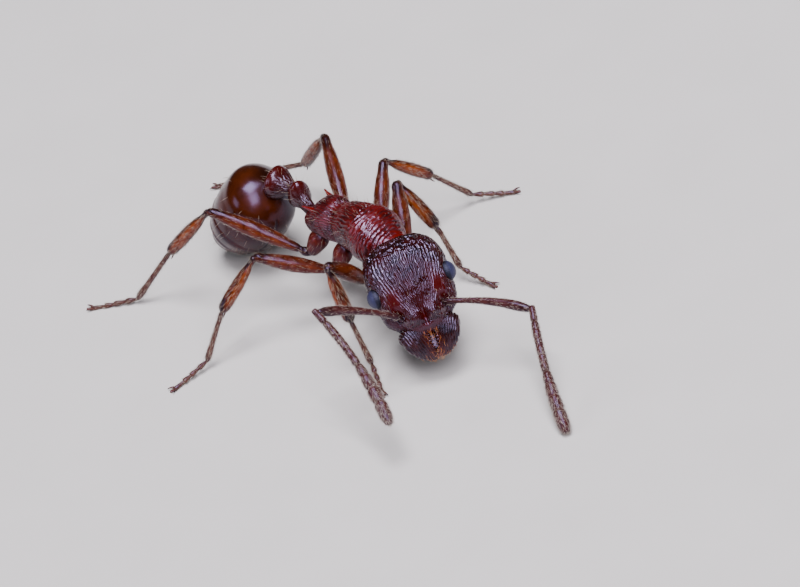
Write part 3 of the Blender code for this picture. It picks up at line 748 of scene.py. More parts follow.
def head_relief(p, t, angle):
    """Ridges that run back from the face and bend round the eyes and the sockets.

    They are closest between the lobes, stand wider behind, and turn to a net at the rear rim.
    """
    x, y, z = p.T
    side = np.abs(x)
    angles, ways = girth_table()
    way = np.interp(angle, angles, ways)
    way = np.where(way < -1.35, way + ways[-1] - ways[0], way)
    closer = through([(-0.55, 0.70), (-0.3, 0.66), (0.0, 0.86), (0.25, 1.0), (0.6, 1.10)], y)
    lines = way + np.clip(way, -0.25, 0.25) * (1.0 / closer - 1.0)
    for middle, mark_y, size in ((0.30, -0.34, 0.10), (0.57, 0.0, 0.15)):
        for centre in (middle, -middle):
            near = np.maximum((way - centre) ** 2 + (y - mark_y) ** 2, size ** 2)
            lines = lines - (way - centre) * size ** 2 / near * np.exp(-near / 0.05)
    wave = 0.15 * wander(p, 0.16, 3) + 0.09 * wander(p, 0.06, 4)
    crest = swell(lines / RUGA + wave)
    crest = 1.0 - (1.0 - crest) ** 2.0
    links = swell(y / LINK + 0.5 * wander(p, 0.09, 5) + lines / RUGA / 2.0)
    crest = np.maximum(crest, (0.30 + 0.35 * slope(y, 0.1, 0.4)) * links ** 3)
    beads_of = [swell(value / NET + 0.45 * wander(p, 0.12, seed))
                for value, seed in ((x, 7), (z, 8), (y, 9))]
    net = 1.15 * held(beads_of[0] * beads_of[1] + beads_of[1] * beads_of[2] + beads_of[2] * beads_of[0])
    netted = np.maximum(slope(y, 0.30, 0.50), 0.55 * slope(np.abs(way), 0.55, 0.8))
    crest = crest * (1.0 - netted) + net * netted
    crest = crest * (0.84 + 0.2 * wander(p * np.array([1.0, 0.4, 1.0]), 0.05, 6))
    cheek = bump(side, y, (0.272, -0.15), (0.070, 0.135)) * (z > 0.0)
    brow = 0.10 * bump(side, y, (0.0, 0.17), (0.05, 0.12)) * (z > 0.0)
    plate = 0.55 * slope(y, -0.475, -0.495) * slope(side, 0.27, 0.2) * (z > 0.0)
    notch = bump(side, y, *FRONT_NOTCH) * (z > 0.0)
    socket = bump(side, y, *SOCKET_PIT) * (z > 0.0)
    eye = around_eye(p)
    bare = held(1.1 * cheek + brow + plate + notch + socket)
    bare = np.maximum(bare, slope(eye, 1.12, 1.04))
    height = RUGA_HEIGHT * (crest - 0.5) * (1.0 - bare)
    height = height - 0.012 * np.exp(-((eye - 1.05) / 0.07) ** 2) - 0.03 * slope(eye, 1.0, 0.8)
    warm = 0.30 * slope(y, 0.16, -0.10) * slope(z, 0.0, 0.1)
    red = held(1.2 * cheek + 0.7 * plate + 0.7 * notch + 0.25 * brow + 0.5 * socket + warm)
    # the crest mark lays the crest colour, in part a painted highlight, over the painted groove shade
    return height, {"crest": crest * (1.0 - bare) + 0.4 * bare, "bare": red}


def eye_surface(side):
    def place(t, angle):
        ring = rounded(t, 2.0)
        across, up = oval(angle)
        x = EYE_PLACE[0] + EYE_RADII[0] * ring * across
        y = EYE_PLACE[1] + EYE_RADII[1] * (2.0 * t - 1.0)
        z = EYE_PLACE[2] + EYE_RADII[2] * ring * up
        return np.stack([side * x, y, z], 1)
    return place


FACET = 0.0175                  # from one lens of the eye to the next, as in life


def eye_relief(p, t, angle):
    """Six-sided lenses in rows, each with its own small dome."""
    y = p[:, 1]
    z = p[:, 2] - EYE_PLACE[2]
    row = FACET * math.sqrt(0.75)
    best = np.full(len(p), 9.0)
    for shift in (0, 1):
        ry = (y / (2.0 * row) + 0.5 * shift)
        rz = (z / FACET + 0.5 * shift)
        dy = (ry - np.round(ry)) * 2.0 * row
        dz = (rz - np.round(rz)) * FACET
        best = np.minimum(best, np.hypot(dy, dz))
    dome = 1.0 - held(best / (0.56 * FACET)) ** 2
    out = np.abs(p[:, 0]) - EYE_PLACE[0]
    # painted shade at the eye's edge next to the head and on its lower part; the crest mark is the share of
    # the painted slate-blue reflection on the lens domes
    rim = slope(out, 0.010, 0.040) * (0.30 + 0.70 * slope(z, -0.090, -0.03))
    return 0.0022 * dome, {"crest": slope(dome, 0.05, 0.5) * rim}


JAW_START = -0.40               # under the front of the head
JAW_RUGA = 0.030
TEETH = 13.0                    # to the length of a jaw
TOOTH = 0.034


def jaw_surface(side):
    """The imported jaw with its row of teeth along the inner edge."""
    def place(t, angle):
        y = JAW_START + (MANDIBLE_TIP - JAW_START) * t
        outer = through([(0, 0.28), (0.12, 0.345), (0.25, 0.368), (0.38, 0.358), (0.55, 0.325), (0.74, 0.268),
                         (0.87, 0.215), (1, 0.13)], t)
        inner = through([(0, 0.10), (0.15, 0.05), (0.35, 0.036), (0.6, 0.044), (0.85, 0.012), (1, -0.035)], t)
        tooth = np.abs(((t - 0.42) * TEETH + 0.25 * side) % 1.0 - 0.5) * 2.0
        tooth = TOOTH * tooth ** 1.5 * slope(t, 0.36, 0.44) * slope(t, 1.0, 0.9)
        thick = through([(0, 0.13), (0.3, 0.115), (0.7, 0.07), (1, 0.025)], t) * rounded(t, 4.0)
        drop = through([(0, 0.02), (0.4, 0.05), (0.75, 0.03 + 0.010 * side), (1, -0.03 + 0.024 * side)], t)
        across, up = oval(angle, 2.2)
        middle = (outer + inner) / 2.0
        half = (outer - inner) / 2.0 * rounded(t, 5.0)
        lean = 0.35 * half * across
        teeth = tooth * held(-across) ** 8
        return np.stack([side * (middle + half * across - teeth), y, drop + thick * up - lean], 1)
    return place


def lip_surface(t, angle):
    """The upper lip, which closes the mouth behind the teeth."""
    y = -0.46 - 0.31 * t
    across, up = oval(angle, 2.4)
    size = rounded(t, 4.0) * (1.0 - 0.35 * t)
    return np.stack([0.13 * size * across, y, 0.006 + 0.035 * size * up], 1)


def lip_relief(p, t, angle):
    return 0.0015 * wander(p, 0.03, 13), {"crest": np.full(len(p), 0.1), "bare": np.full(len(p), 0.1)}


def jaw_relief(p, t, angle):
    """Long fine grooves from the root to the teeth, which are bare and dark."""
    side = np.abs(p[:, 0])
    lines = (side + 0.14 * t) / JAW_RUGA + 0.15 * wander(p, 0.1, 11)
    crest = swell(lines)
    bare = held(slope(side, 0.045, 0.015) * slope(t, 0.35, 0.5))
    # shine is the crest mark: the crest colour it lays is in part a painted highlight, and the grooves
    # between get painted shade
    shine = crest ** 1.5 * (1.0 - bare) * (0.7 + 0.3 * wander(p, 0.08, 12))
    red = 0.50 * slope(side, 0.16, 0.05) * slope(t, 0.3, 0.6) + 0.10 * slope(t, 0.3, 0.9)
    return 0.0120 * (crest - 0.5) * (1.0 - bare), {"crest": shine, "bare": red}


def build_head(head):
    """Head capsule, upper lip, eyes, jaws and the rings round the antennae's roots."""
    forms = {"head": Form(head_surface, head)}
    clad(forms["head"], "head_capsule", "head", head_relief, "head", "head_cuticle", "head", focus=0.35)
    clad(Form(lip_surface, head), "upper_lip", "lip", lip_relief, "jaw", "head_cuticle")
    for name, side in SIDES.items():
        eye = Form(eye_surface(side), head)
        clad(eye, "compound_eye_" + name, "eye", eye_relief, "eye", "eye_facets", "eye_" + name)
        jaw = forms["jaw_" + name] = Form(jaw_surface(side), head)
        clad(jaw, "jaw_" + name, "jaw", jaw_relief, "jaw", "head_cuticle", "mandible_" + name)
        let_go()
        bpy.ops.mesh.primitive_torus_add(major_segments=40, minor_segments=12, major_radius=RIM_RADIUS,
                                         minor_radius=RIM_THICK)
        rim = bpy.context.object
        rim.name = "antenna_rim_" + name
        tilt = head @ frame_at((side * RIM_PLACE[0], *RIM_PLACE[1:]), roll=side * RIM_TILT)
        write_points(rim.data, to_world(read_points(rim.data), tilt))
        rim.matrix_world = Matrix.Identity(4)
        bpy.ops.object.shade_smooth()
        mark(rim.data, "crest", np.full(len(rim.data.vertices), 0.6))
        dress(rim, "head", "head_cuticle")
    return forms


# ---- limbs

def limb(stand, length, thick, shape, bow=0.0, span=(0.0, 1.0), blunt=6.0, fine=None):
    """A limb along an arc from a frame: shape and fine give its radius as shares of thick."""
    def place(t, angle):
        along = span[0] + (span[1] - span[0]) * t
        points, up = arc(along, length, bow)
        radius = thick * through(shape, along) * rounded(t, blunt)
        if fine:
            radius = radius * fine(along)
        across, rise = oval(angle)
        side = np.array([[1.0, 0.0, 0.0]])
        return points + side * (radius * across)[:, None] + up * (radius * rise)[:, None]
    return Form(place, stand)


def limb_relief(dark_start, dark_end, painted_edge_shade=0.0, depth=0.0012):
    """Fine lengthwise streaks, with a dark ring at each end of the segment, and painted shade along the back
    and underside.
    """
    def relief(p, t, angle):
        streak = wander(np.stack([np.cos(angle) * 0.05, t * 0.1, np.sin(angle) * 0.05], 1), 0.018, 21)
        shade = dark_start * slope(t, 0.30, 0.02) + dark_end * slope(t, 0.72, 0.96)
        # painted shade along the back and the underside, in place of the dark edges of clear chitin seen
        # edge-on
        shade = shade + 0.15 * streak + painted_edge_shade * slope(np.abs(np.sin(angle)), 0.45, 0.95)
        return depth * streak, {"shade": held(shade)}
    return relief


def funiculus_ends():
    """Where each of the eleven segments ends, as shares of the length."""
    middle = 1.0 - PEDICEL_SHARE - CLUB_SHARE
    sizes = [PEDICEL_SHARE] + [middle / 6.0] * 6
    sizes += [CLUB_SHARE * share for share in CLUB_SHARES]
    return list(np.cumsum(sizes))


def beads(along):
    """How far each segment of the funiculus pinches in at its two ends."""
    ends = np.array(funiculus_ends())
    starts = np.concatenate([[0.0], ends[:-1]])
    size = np.ones_like(along)
    for start, end in zip(starts, ends):
        near = (along - start) / (end - start)
        size = size - 0.13 * np.exp(-(near / 0.10) ** 2) * (start > 0.0)
        if end < 0.999:
            size = size - 0.05 * np.exp(-((near - 1.0) / 0.09) ** 2)
    return size


def build_antenna(head, name, side):
    """A scape, and a funiculus in three parts that share one beaded curve."""
    out, lift, fore, fore_lift, fore_bow = ANTENNAE[name]
    label = "antenna_" + name + "_"
    flat = -90.0 * side         # turns the bend of an antenna sideways
    socket = head @ frame_at((side * SOCKET[0], *SOCKET[1:]), yaw=side * out, pitch=-lift, roll=flat)
    shape = [(0, 0.54), (0.06, 0.71), (0.13, 0.61), (0.6, 0.84), (0.92, 1.0), (1, 0.89)]
    scape = limb(socket @ tilted(SCAPE_BOW / 2.0), arc_over(SCAPE_LENGTH, SCAPE_BOW), SCAPE_THICK, shape,
                 SCAPE_BOW, (-0.012, 1.012))
    clad(scape, label + "stem", "stem", limb_relief(0.7, 0.6), "feeler", "feeler_cuticle", label + "scape")

    elbow = Matrix.Translation(ahead(socket, SCAPE_LENGTH + ELBOW_GAP))
    root = elbow @ head.to_3x3().to_4x4()
    root = root @ frame_at((0, 0, 0), yaw=side * fore, pitch=-fore_lift, roll=flat)
    ends = funiculus_ends()
    growth = [(0, 0.52), (0.1, 0.60), (0.5, 0.70), (0.62, 0.88), (0.85, 1.02), (0.96, 0.90), (1, 0.70)]
    forms = {"scape": scape}
    spans = {"pedicel": (-0.024, ends[0] + 0.003), "flagellum": (ends[0] - 0.004, ends[6] + 0.004),
             "club": (ends[6] - 0.004, 1.0)}
    for part, span in spans.items():
        forms[part] = limb(root, FUNICULUS_LENGTH, FUNICULUS_THICK, growth, fore_bow, span, 7.0, beads)
        relief = limb_relief(0.15, 0.15, depth=0.0016)
        clad(forms[part], label + part + "_beads", "beads", relief, "feeler", "feeler_cuticle", label + part)
    return forms


# ---- trunk and waist

def trunk_point(t, angle):
    """The whole trunk: a domed front, a shallow groove, and a lower, narrower rear."""
    y = TRUNK_FRONT + (TRUNK_REAR - TRUNK_FRONT) * t
    half = through([(0, 0.13), (0.06, 0.20), (0.13, 0.285), (0.22, 0.335), (0.30, 0.325), (0.38, 0.28),
                    (0.46, 0.255), (0.56, 0.24), (0.63, 0.23), (0.74, 0.25), (0.88, 0.225), (1, 0.15)], t)
    top = through([(0, -0.04), (0.06, 0.05), (0.14, 0.19), (0.25, 0.275), (0.36, 0.29), (0.46, 0.27),
                   (0.54, 0.225), (0.61, 0.165), (0.70, 0.18), (0.82, 0.13), (0.92, -0.01), (1, -0.11)], t)
    base = through([(0, -0.20), (0.06, -0.24), (0.2, -0.31), (0.4, -0.34), (0.6, -0.335), (0.8, -0.325),
                    (0.94, -0.29), (1, -0.22)], t)
    ends = rounded(t, 9.0)
    across, up = oval(angle, 2.3)
    middle = (top + base) / 2.0
    waist = 1.0 - 0.12 * bump(t, 0.0, (0.60, 0.0), (0.035, 1.0))
    return np.stack([half * across * ends * waist, y, middle + (top - base) / 2.0 * up * ends], 1)


PLATE_GAP = 0.003               # between two plates of the trunk
TRUNK_RUGA = 0.037
TRUNK_LINK = 0.06


def trunk_relief(p, t, angle):
    """Arched ridges round the front of the dome, and wavy lengthwise ones on the rest.

    The collar in front is bare, and so is the slope between the spines.
    """
    x, y, z = p.T
    round_front = np.sqrt((0.75 * x) ** 2 + (y + 0.66) ** 2 + (z + 0.06) ** 2)
    lengthwise = np.arctan2(x, z + 0.12) * 0.30
    behind = slope(y, -0.36, -0.24)
    wave = 0.22 * wander(p, 0.20, 31) + 0.11 * wander(p, 0.08, 32)
    arched = swell(round_front / TRUNK_RUGA + wave)
    along = swell(lengthwise / TRUNK_RUGA + wave)
    crest = arched * (1.0 - behind) + along * behind
    links = swell(np.where(behind > 0.5, y, x) / TRUNK_LINK + 0.8 * wander(p, 0.1, 33))
    crest = np.maximum(crest, 0.4 * links ** 3)
    crest = crest * (0.86 + 0.2 * wander(p, 0.07, 34))
    collar = slope(y, -0.69, -0.74)
    declivity = slope(y, 0.52, 0.62) * slope(np.abs(x), 0.2, 0.12)
    lower = 0.5 * slope(z, -0.16, -0.30)
    bare = held(collar + declivity + lower)
    seam = np.exp(-((y - 0.30 - 0.35 * z) / 0.012) ** 2) * slope(z, 0.10, 0.0)
    pore = bump(y, z, (0.42, 0.03), (0.018, 0.018)) * (np.abs(x) > 0.12)
    height = 0.024 * bump(y, 0.0, (-0.735, 0.0), (0.026, 1.0))
    height = height + 0.0115 * (crest - 0.5) * (1.0 - bare) - 0.012 * seam * (y > 0.0) - 0.02 * pore
    dull = 1.0 - 0.40 * slope(y, -0.36, -0.10) * (1.0 - declivity)
    # the crest mark lays the crest colour, in part a painted highlight, over the painted groove shade
    return height, {"crest": (crest * (1.0 - bare) + 0.8 * bare) * dull,
                    "bare": (0.8 * lower + 0.42 * (bare - lower)) * dull}


def build_trunk(trunk):
    """One form, cut across into three plates, so that their ridges run on."""
    front, rear = TRUNK_CUTS
    form = Form(trunk_point, trunk)
    spans = {
        "prothorax": (None, front - PLATE_GAP / 2.0),
        "mesothorax": (front + PLATE_GAP / 2.0, rear - PLATE_GAP / 2.0),
        "propodeum": (rear + PLATE_GAP / 2.0, None),
    }
    for name, keep in spans.items():
        plate = form.shape(name + "_plate", GRAINS["trunk"], trunk_relief, keep)
        if name == "propodeum":
            join([model_spine(trunk, side) for side in SIDES.values()] + [plate])
        dress(plate, "trunk", "trunk_cuticle", name)
    return form


def model_spine(trunk, side):
    """A spine of the propodeum, with a flared root and a sharp end."""
    spread, lift = SPINE_TURN
    root = trunk @ frame_at((side * SPINE_ROOT[0], *SPINE_ROOT[1:]), yaw=180.0 - side * spread, pitch=lift)
    shape = [(0, 1.25), (0.15, 1.0), (0.4, 0.62), (0.8, 0.28), (1, 0.16)]
    form = limb(root, SPINE_LENGTH, SPINE_THICK, shape, blunt=8.0)

    def relief(p, t, angle):
        return 0.0012 * wander(p, 0.03, 35), {"crest": np.full(len(p), 0.6), "bare": 0.3 + 0.4 * t}
    return form.shape("spine", GRAINS["spine"], relief)


def build_neck(trunk, head):
    """The pale collar of soft skin between trunk and head, in rings."""
    start = trunk @ (Vector(NECK_START) * MM)
    along = head @ (Vector(NECK_END) * MM) - start
    turn = along.normalized().to_track_quat("-Y", "Z").to_matrix().to_4x4()
    shape = [(0, 1.0), (0.5, 0.88), (1, 0.80)]
    form = limb(Matrix.Translation(start) @ turn, along.length / MM, NECK_THICK, shape, blunt=12.0)

    def relief(p, t, angle):
        rings = np.cos(2.0 * math.pi * t * 9.0 + 0.4 * np.sin(3.0 * angle))
        # the shade mark darkens the folds between the rings as painted shade
        return 0.003 * rings, {"shade": 0.5 - 0.4 * rings}
    clad(form, "neck_skin", "skin", relief, "membrane", "trunk_cuticle", "neck")


def waist_surface(length, shape, height, rise):
    def place(t, angle):
        radius = through(shape, t) * rounded(t, 5.0)
        across, up = oval(angle, 2.1)
        tall = np.where(up > 0, height, 0.9)
        knob = rise * bump(t, 0.0, (0.62, 0.0), (0.25, 1.0)) * held(up)
        return np.stack([radius * across, -length * t, radius * tall * up + knob], 1)
    return place


def waist_relief(p, t, angle):
    """Fine wavy ridges that fade out on the top of the knob."""
    wave = 0.25 * wander(p, 0.12, 41)
    crest = swell(angle * 3.6 + wave + 0.2 * wander(p, 0.06, 42))
    top = slope(t, 0.30, 0.6) * slope(p[:, 2], 0.0, 0.09)
    crest = crest * (1.0 - 0.8 * top)
    height = 0.0055 * (crest - 0.5) * (1.0 - 0.8 * top)
    # the crest mark lays the crest colour, in part a painted highlight, over the painted groove shade
    return height, {"crest": held(crest + 0.8 * top), "bare": held(0.8 * top + 0.2)}


def build_waist(trunk):
    """The two knobs and the skin between them; gives the forms and where the gaster starts."""
    root = trunk @ frame_at((0.0, TRUNK_REAR + GAP, PETIOLE_ROOT_HEIGHT), *PETIOLE_TURN)
    knob = [(0, 0.085), (0.15, 0.075), (0.35, 0.085), (0.62, 0.135), (0.85, 0.115), (1, 0.075)]
    petiole = Form(waist_surface(PETIOLE_LENGTH, knob, height=1.45, rise=0.055), root)
    clad(petiole, "petiole_knob", "waist", waist_relief, "waist", "trunk_cuticle", "petiole")
    joint = root @ frame_at((0.0, -PETIOLE_LENGTH - WAIST_GAP, 0.0), *POSTPETIOLE_TURN)
    bell = [(0, 0.075), (0.3, 0.130), (0.65, 0.195), (0.9, 0.180), (1, 0.115)]
    postpetiole = Form(waist_surface(POSTPETIOLE_LENGTH, bell, height=0.98, rise=0.02), joint)
    clad(postpetiole, "postpetiole_bell", "waist", waist_relief, "waist", "trunk_cuticle", "postpetiole")
    middle = joint @ frame_at((0.0, 0.045, 0.0))
    link = limb(middle, WAIST_SKIN_LENGTH, WAIST_SKIN_THICK, [(0, 1.0), (1, 1.0)])
    clad(link, "waist_link", "skin", limb_relief(0.4, 0.4), "membrane", "trunk_cuticle")
    end = joint @ frame_at((0.0, -POSTPETIOLE_LENGTH - GAP, 0.0), *GASTER_TURN)
    return {"petiole": petiole, "postpetiole": postpetiole}, end


TUCK = 0.004                    # how far a plate of the gaster goes under the one before it


def gaster_point(t, angle):
    """The gaster: a broad front shoulder, fullest before the middle, and a pointed end."""
    outline = through([(0, 0.30), (0.05, 0.56), (0.15, 0.86), (0.35, 1.0), (0.55, 0.96), (0.75, 0.74),
                       (0.9, 0.43), (1, 0.20)], t)
    across, up = oval(angle, 2.05)
    size = outline * rounded(t, 5.0)
    x = GASTER_HALF_WIDTH * size * across
    z = GASTER_HALF_HEIGHT * size * up - GASTER_SAG * np.sin(math.pi * t)
    return np.stack([x, -GASTER_LENGTH * t, z], 1)


def gaster_relief(index):
    """A smooth plate: its hind rim stands over the next plate, and a seam parts the back from the belly."""
    start, end = GASTER_ENDS[index:index + 2]

    def relief(p, t, angle):
        rim = 0.012 * slope(t, end - 0.035, end) if end < 1.0 else 0.0
        tuck = 0.008 * slope(t, start + 0.05, start) if start else 0.0
        seam = np.exp(-((angle + 0.62) / 0.035) ** 2) + np.exp(-((angle + math.pi - 0.62) / 0.035) ** 2)
        seam = seam * slope(t, 0.12, 0.2)
        edge = slope(t, end - 0.03, end - 0.005) if end < 1.0 else 0.0
        # painted shade: darker underneath, along the seam and at the front end; the hind rim is lighter, as
        # the plate's own pale margin
        belly = 0.55 * slope(p[:, 2], -0.1, -0.42)
        shade = held(belly + 0.6 * seam + 0.5 * slope(t, 0.10, 0.0) - 0.5 * edge)
        return rim - tuck - 0.010 * seam + 0.0006 * wander(p, 0.2, 51), {"shade": shade}
    return relief


def build_gaster(stand):
    """Four plates, cut across from one form."""
    form = Form(gaster_point, stand)
    for index, (start, end) in enumerate(zip(GASTER_ENDS, GASTER_ENDS[1:])):
        front = -GASTER_LENGTH * start + TUCK if start else None
        back = -GASTER_LENGTH * end if end < 1.0 else None
        name = "gaster_" + str(index + 1)
        clad(form, name + "_plate", "gaster", gaster_relief(index), "gaster", "gaster_cuticle", name,
             keep=(back, front))
    return form


# ---- legs

# the radius along each segment, as shares of the greatest one
LEG_SHAPES = {
    "coxa": [(0, 0.80), (0.3, 1.0), (0.75, 0.74), (0.92, 0.60), (1, 0.52)],
    "femur": [(0, 0.46), (0.03, 0.60), (0.065, 0.62), (0.10, 0.40), (0.125, 0.50), (0.2, 0.64), (0.5, 1.0),
              (0.75, 0.86), (0.90, 0.66), (0.97, 0.68), (1, 0.58)],
    "tibia": [(0, 0.52), (0.03, 0.62), (0.08, 0.50), (0.3, 0.80), (0.6, 1.0), (0.85, 0.95), (0.97, 0.86),
              (1, 0.70)],
    "tarsus": [(0, 0.62), (0.05, 0.80), (0.15, 0.80), (0.7, 0.93), (0.95, 1.06), (1, 0.92)],
    "foot": [(0, 1.0), (0.9, 1.0), (1, 1.02)],
}
# each segment's finish, how fine it is, how dark its start and its end are, and how much painted shade lies
# along its back and underside
LEG_FINISHES = {
    "coxa": ("coxa", "coxa", (0.5, 0.5, 0.3)),
    "femur": ("femur", "leg", (0.9, 0.55, 0.4)),
    "tibia": ("leg", "leg", (0.95, 0.75, 0.7)),
    "tarsus": ("foot", "leg", (0.5, 0.3, 0.3)),
    "foot": ("foot", "foot", (0.3, 0.3, 0.3)),
}
KNOT_ENDS = (0.24, 0.48, 0.68, 1.0)     # the four short segments of a foot


def knots(along):
    """The foot's segments: each widens to its end and starts thin."""
    size = np.ones_like(along)
    start = 0.0
    for end in KNOT_ENDS:
        near = (along - start) / (end - start)
        inside = (near >= 0.0) & (near < 1.0)
        size = np.where(inside, 0.66 + 0.44 * slope(near, 0.0, 0.85) - 0.16 * slope(near, 0.9, 1.0), size)
        start = end
    return size


def keep_above_floor(piece):
    """Lift what would go into the floor, so that a sole is flat."""
    points = read_points(piece.data)
    points[:, 2] = np.maximum(points[:, 2], FLOOR_CLEARANCE * MM)
    write_points(piece.data, points)


def limb_piece(name, segment, label, form):
    """A leg's segment as a dressed piece that stays above the floor."""
    finish, grain, tones_and_shade = LEG_FINISHES[segment]
    piece = clad(form, name + label, grain, limb_relief(*tones_and_shade), finish, "limb_cuticle", segment + label)
    keep_above_floor(piece)


def build_claws(label, place, thick, length):
    """Two curved claws and the pad between them, at the end of a foot."""
    pieces = []
    for spread in (-CLAW_SPREAD, CLAW_SPREAD):
        side = math.copysign(1.1 * CLAW_THICK, spread)
        root = place @ frame_at((side, 2.0 * thick - length, 0.0), yaw=spread) @ tilted(-CLAW_LIFT)
        shape = [(0, 1.0), (0.5, 0.8), (0.85, 0.4), (1, 0.12)]
        form = limb(root, CLAW_LENGTH, CLAW_THICK, shape, -CLAW_BOW)
        pieces.append(form.shape("claw", GRAINS["claw"], limb_relief(0.0, 0.8)))
    root = place @ frame_at((0.0, 0.02 - length, 0.004), pitch=-12.0)
    pad = limb(root, PAD_LENGTH, PAD_THICK, [(0, 0.7), (0.6, 1.0), (1, 0.8)])
    pieces.append(pad.shape("pad", GRAINS["pad"], limb_relief(0.2, 0.0)))
    claws = join(pieces[::-1])
    claws.name = "claws" + label
    keep_above_floor(claws)
    dress(claws, "foot", "limb_cuticle")


def build_spur(label, place, length, pair):
    """The movable spur at the end of a tibia: a curved thorn, longest on the front leg."""
    root = place @ frame_at((0.0, 0.03 - length, -0.035), pitch=24.0)
    form = limb(root, SPUR_LENGTHS[pair], SPUR_THICK, [(0, 0.9), (0.4, 1.0), (1, 0.2)], SPUR_BOW)
    clad(form, "spur" + label, "spur", limb_relief(0.2, 0.0), "foot", "limb_cuticle")


def build_leg(side_name, pair, stand):
    """A leg from hip to claws: each segment starts where the one before it ends."""
    side = SIDES[side_name]
    hip, *aims, foot_turn = STANCE[(side_name, pair)]
    label = "_" + pair + "_" + side_name
    lengths, radii = LEG_LENGTHS[pair], LEG_RADII[pair]
    base, start = (Vector((side * point[0], *point[1:])) for point in (COXA_ROOTS[pair], hip))
    along = start - base
    turn = along.normalized().to_track_quat("-Y", "X").to_matrix().to_4x4()
    place = stand @ Matrix.Translation(base * MM) @ turn
    forms = {"coxa": limb(place, along.length, radii["coxa"], LEG_SHAPES["coxa"])}
    limb_piece("hip", "coxa", label, forms["coxa"])
    for segment, (yaw, lift) in zip(("femur", "tibia", "tarsus"), aims):
        bow = FEMUR_BOWS[pair] if segment == "femur" else 0.0
        length = lengths[segment]
        chord = frame_at(start, yaw=side * yaw, pitch=-lift)
        place = stand @ chord @ tilted(bow / 2.0)
        shape = LEG_SHAPES[segment]
        forms[segment] = limb(place, arc_over(length, bow), radii[segment], shape, bow, (-0.01, 1.01))
        limb_piece(segment + "_shell", segment, label, forms[segment])
        if segment == "tibia":
            build_spur(label, place, length, pair)
        start = ahead(chord, length) / MM
    length, thick = lengths["foot"], radii["foot"]
    drop = start.z - thick * (1.0 - FOOT_SINK)
    place = stand @ frame_at(start, yaw=side * foot_turn, pitch=math.degrees(math.asin(drop / length)))
    forms["foot"] = limb(place, length, thick, LEG_SHAPES["foot"], span=(-0.01, 1.0), fine=knots)
    limb_piece("foot_shell", "foot", label, forms["foot"])
    build_claws(label, place, thick, length)
    return forms


# ---- the coat

# half the thickness of a hair
HAIR_THICK = {"head": 0.0010, "jaw": 0.0012, "body": 0.0014, "feeler": 0.0013, "leg": 0.0011}
# how many hairs a part has, how long they are and how far they lift
ANTENNA_HAIRS = {"scape": (420, 0.050, 30.0), "pedicel": (130, 0.042, 40.0), "flagellum": (900, 0.046, 42.0),
                 "club": (1500, 0.048, 40.0)}
LEG_HAIRS = {"coxa": (50, 0.07, 45.0), "femur": (240, 0.058, 30.0), "tibia": (380, 0.062, 34.0),
             "tarsus": (420, 0.050, 36.0), "foot": (330, 0.046, 38.0)}


def above(low, high):
    """Where hairs stand: only on the upper side of a part."""
    return lambda points, t, angle: slope(points[:, 2], low, high)


def build_coats(head, trunk, waist, gaster, antennae, legs):
    """Each bed is a form, a count, a length, a lift, a bend and where the hairs stand."""
    eyes_clear = lambda p, t, a: slope(around_eye(p), 1.0, 1.25)
    beds = [(head["head"], 240, 0.050, 46.0, 0.3, eyes_clear)]
    lay_coat("head_hairs", beds, HAIR_THICK["head"], "hair", "head_cuticle", 61)
    edge = lambda p, t, a: slope(np.abs(p[:, 0]), 0.12, 0.03) + slope(t, 0.75, 0.95)
    lip = lambda p, t, a: slope(p[:, 1], -0.53, -0.56) * slope(p[:, 2], 0.02, 0.07)
    beds = [(head["jaw_" + name], 70, 0.085, 24.0, 0.3, edge) for name in SIDES]
    beds.append((head["head"], 60, 0.16, 34.0, 0.3, lip))
    lay_coat("jaw_hairs", beds, HAIR_THICK["jaw"], "jaw_hair", "head_cuticle", 62)
    beds = [(trunk, 84, 0.110, 72.0, 0.15, above(-0.1, 0.1))]
    lay_coat("trunk_hairs", beds, HAIR_THICK["body"], "hair", "trunk_cuticle", 63)
    beds = [(waist[name], 26, 0.12, 70.0, 0.15, above(-0.02, 0.08)) for name in waist]
    lay_coat("waist_hairs", beds, HAIR_THICK["body"], "hair", "trunk_cuticle", 64)
    beds = [(gaster, 180, 0.11, 52.0, 0.3, lambda p, t, a: slope(t, 0.05, 0.3))]
    lay_coat("gaster_hairs", beds, HAIR_THICK["body"], "hair", "gaster_cuticle", 65)
    for name, forms in antennae.items():
        beds = [(forms[part], *facts, 0.3, None) for part, facts in ANTENNA_HAIRS.items()]
        lay_coat("antenna_hairs_" + name, beds, HAIR_THICK["feeler"], "fringe", "feeler_cuticle", 66)
    for (side_name, pair), forms in legs.items():
        beds = [(forms[segment], *facts, 0.3, None) for segment, facts in LEG_HAIRS.items()]
        lay_coat("leg_hairs_" + pair + "_" + side_name, beds, HAIR_THICK["leg"], "hair", "limb_cuticle", 67)


# ---- floor, light and camera

VIEW_TARGET = (-0.225, -0.919, 0.629)   # in the ant's frame
VIEW_DISTANCE = 100.0
VIEW_AZIMUTH = -31.1
VIEW_HEIGHT = 36.3
VIEW_ROLL = -18.0
VIEW_LENS = 397.0
# name, place, width and height in mm, power in watts, and colour
SOFTBOXES = [
    ("overhead", (0.0, -8.0, 128.0), 58.0, 58.0, 0.28, "#F4F2FF"),
    ("front", (-26.0, -78.0, 104.0), 56.0, 78.0, 0.21, "#F4F0FF"),
    ("window", (-110.0, 40.0, 70.0), 60.0, 60.0, 0.05, "#EEF0FF"),
]
FLOOR_SIZE = 400.0
ROOM_LIGHT = 0.07


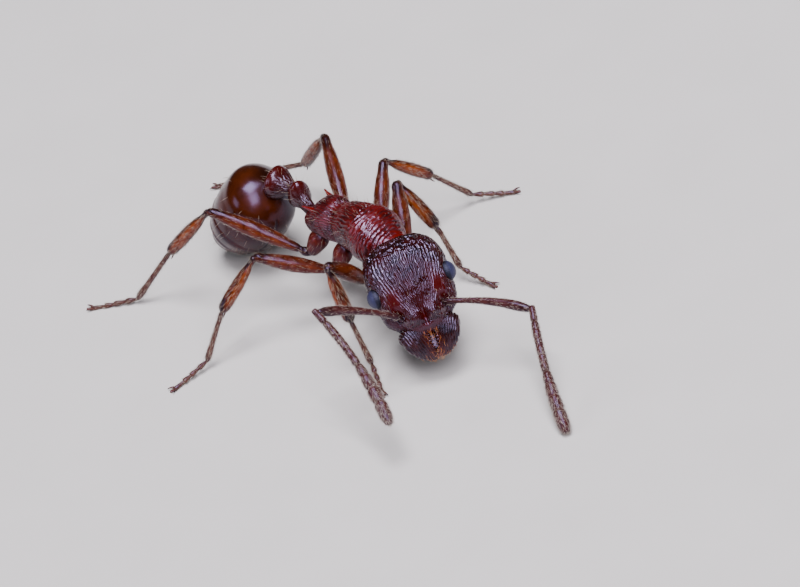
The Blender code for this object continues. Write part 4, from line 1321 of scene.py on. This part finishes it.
def build_stage():
    """A pale card to stand on, and a room of soft light."""
    let_go()
    bpy.ops.mesh.primitive_plane_add(size=FLOOR_SIZE * MM)
    floor = bpy.context.object
    floor.name = "floor"
    tree, shader, place, material = blank("pale_card", Roughness=0.9)
    fibre = node(tree, "TexNoise", {"Vector": place, "Scale": 0.9 * PER_MM, "Detail": 2.0})
    lay_on(tree, shader, tone("#BFBCB5"), [(fibre, "#C6C3BC")])
    floor.data.materials.append(material)
    world = bpy.data.worlds.new("soft_room")
    bpy.context.scene.world = world
    world.use_nodes = True
    back = world.node_tree.nodes["Background"]
    back.inputs["Color"].default_value = tone("#D8DAE6")
    back.inputs["Strength"].default_value = ROOM_LIGHT


def build_lights():
    """Soft boxes that face the ant."""
    for name, place, width, height, power, colour in SOFTBOXES:
        light = bpy.data.lights.new(name, "AREA")
        light.shape = "RECTANGLE"
        light.size = width * MM
        light.size_y = height * MM
        light.energy = power
        light.color = tone(colour)[:3]
        box = bpy.data.objects.new(name, light)
        bpy.context.scene.collection.objects.link(box)
        box.location = Vector(place) * MM
        box.rotation_euler = (Vector((0.0, 0.0, 0.7)) - Vector(place)).to_track_quat("-Z", "Y").to_euler()


def build_camera(stand):
    """A long lens from in front and above, rolled about its own axis."""
    turn, height, roll = (math.radians(v) for v in (VIEW_AZIMUTH, VIEW_HEIGHT, VIEW_ROLL))
    back = Vector((math.sin(turn) * math.cos(height), -math.cos(turn) * math.cos(height), math.sin(height)))
    level = Vector((math.cos(turn), math.sin(turn), 0.0))
    rise = back.cross(level)
    right = level * math.cos(roll) + rise * math.sin(roll)
    up = back.cross(right)
    camera = bpy.data.objects.new("camera", bpy.data.cameras.new("camera"))
    bpy.context.scene.collection.objects.link(camera)
    camera.data.sensor_width = 36.0
    camera.data.lens = VIEW_LENS
    camera.data.clip_start = 1.0 * MM
    camera.data.clip_end = 2.0
    turned = Matrix((right, up, back)).transposed().to_4x4()
    place = stand @ (Vector(VIEW_TARGET) * MM) + back * VIEW_DISTANCE * MM
    camera.matrix_world = Matrix.Translation(place) @ turned
    bpy.context.scene.camera = camera


# ---- the whole ant

def main():
    stand = find_stand()
    trunk_stand = stand @ frame_at((0.0, 0.0, TRUNK_HEIGHT))
    head_stand = stand @ frame_at(HEAD_CENTRE, HEAD_YAW, HEAD_PITCH, HEAD_ROLL)
    head = build_head(head_stand)
    antennae = {name: build_antenna(head_stand, name, side) for name, side in SIDES.items()}
    build_neck(trunk_stand, head_stand)
    trunk = build_trunk(trunk_stand)
    waist, end = build_waist(trunk_stand)
    gaster = build_gaster(end)
    legs = {key: build_leg(*key, stand) for key in STANCE}
    build_coats(head, trunk, waist, gaster, antennae, legs)
    build_stage()
    build_lights()
    build_camera(stand)


main()
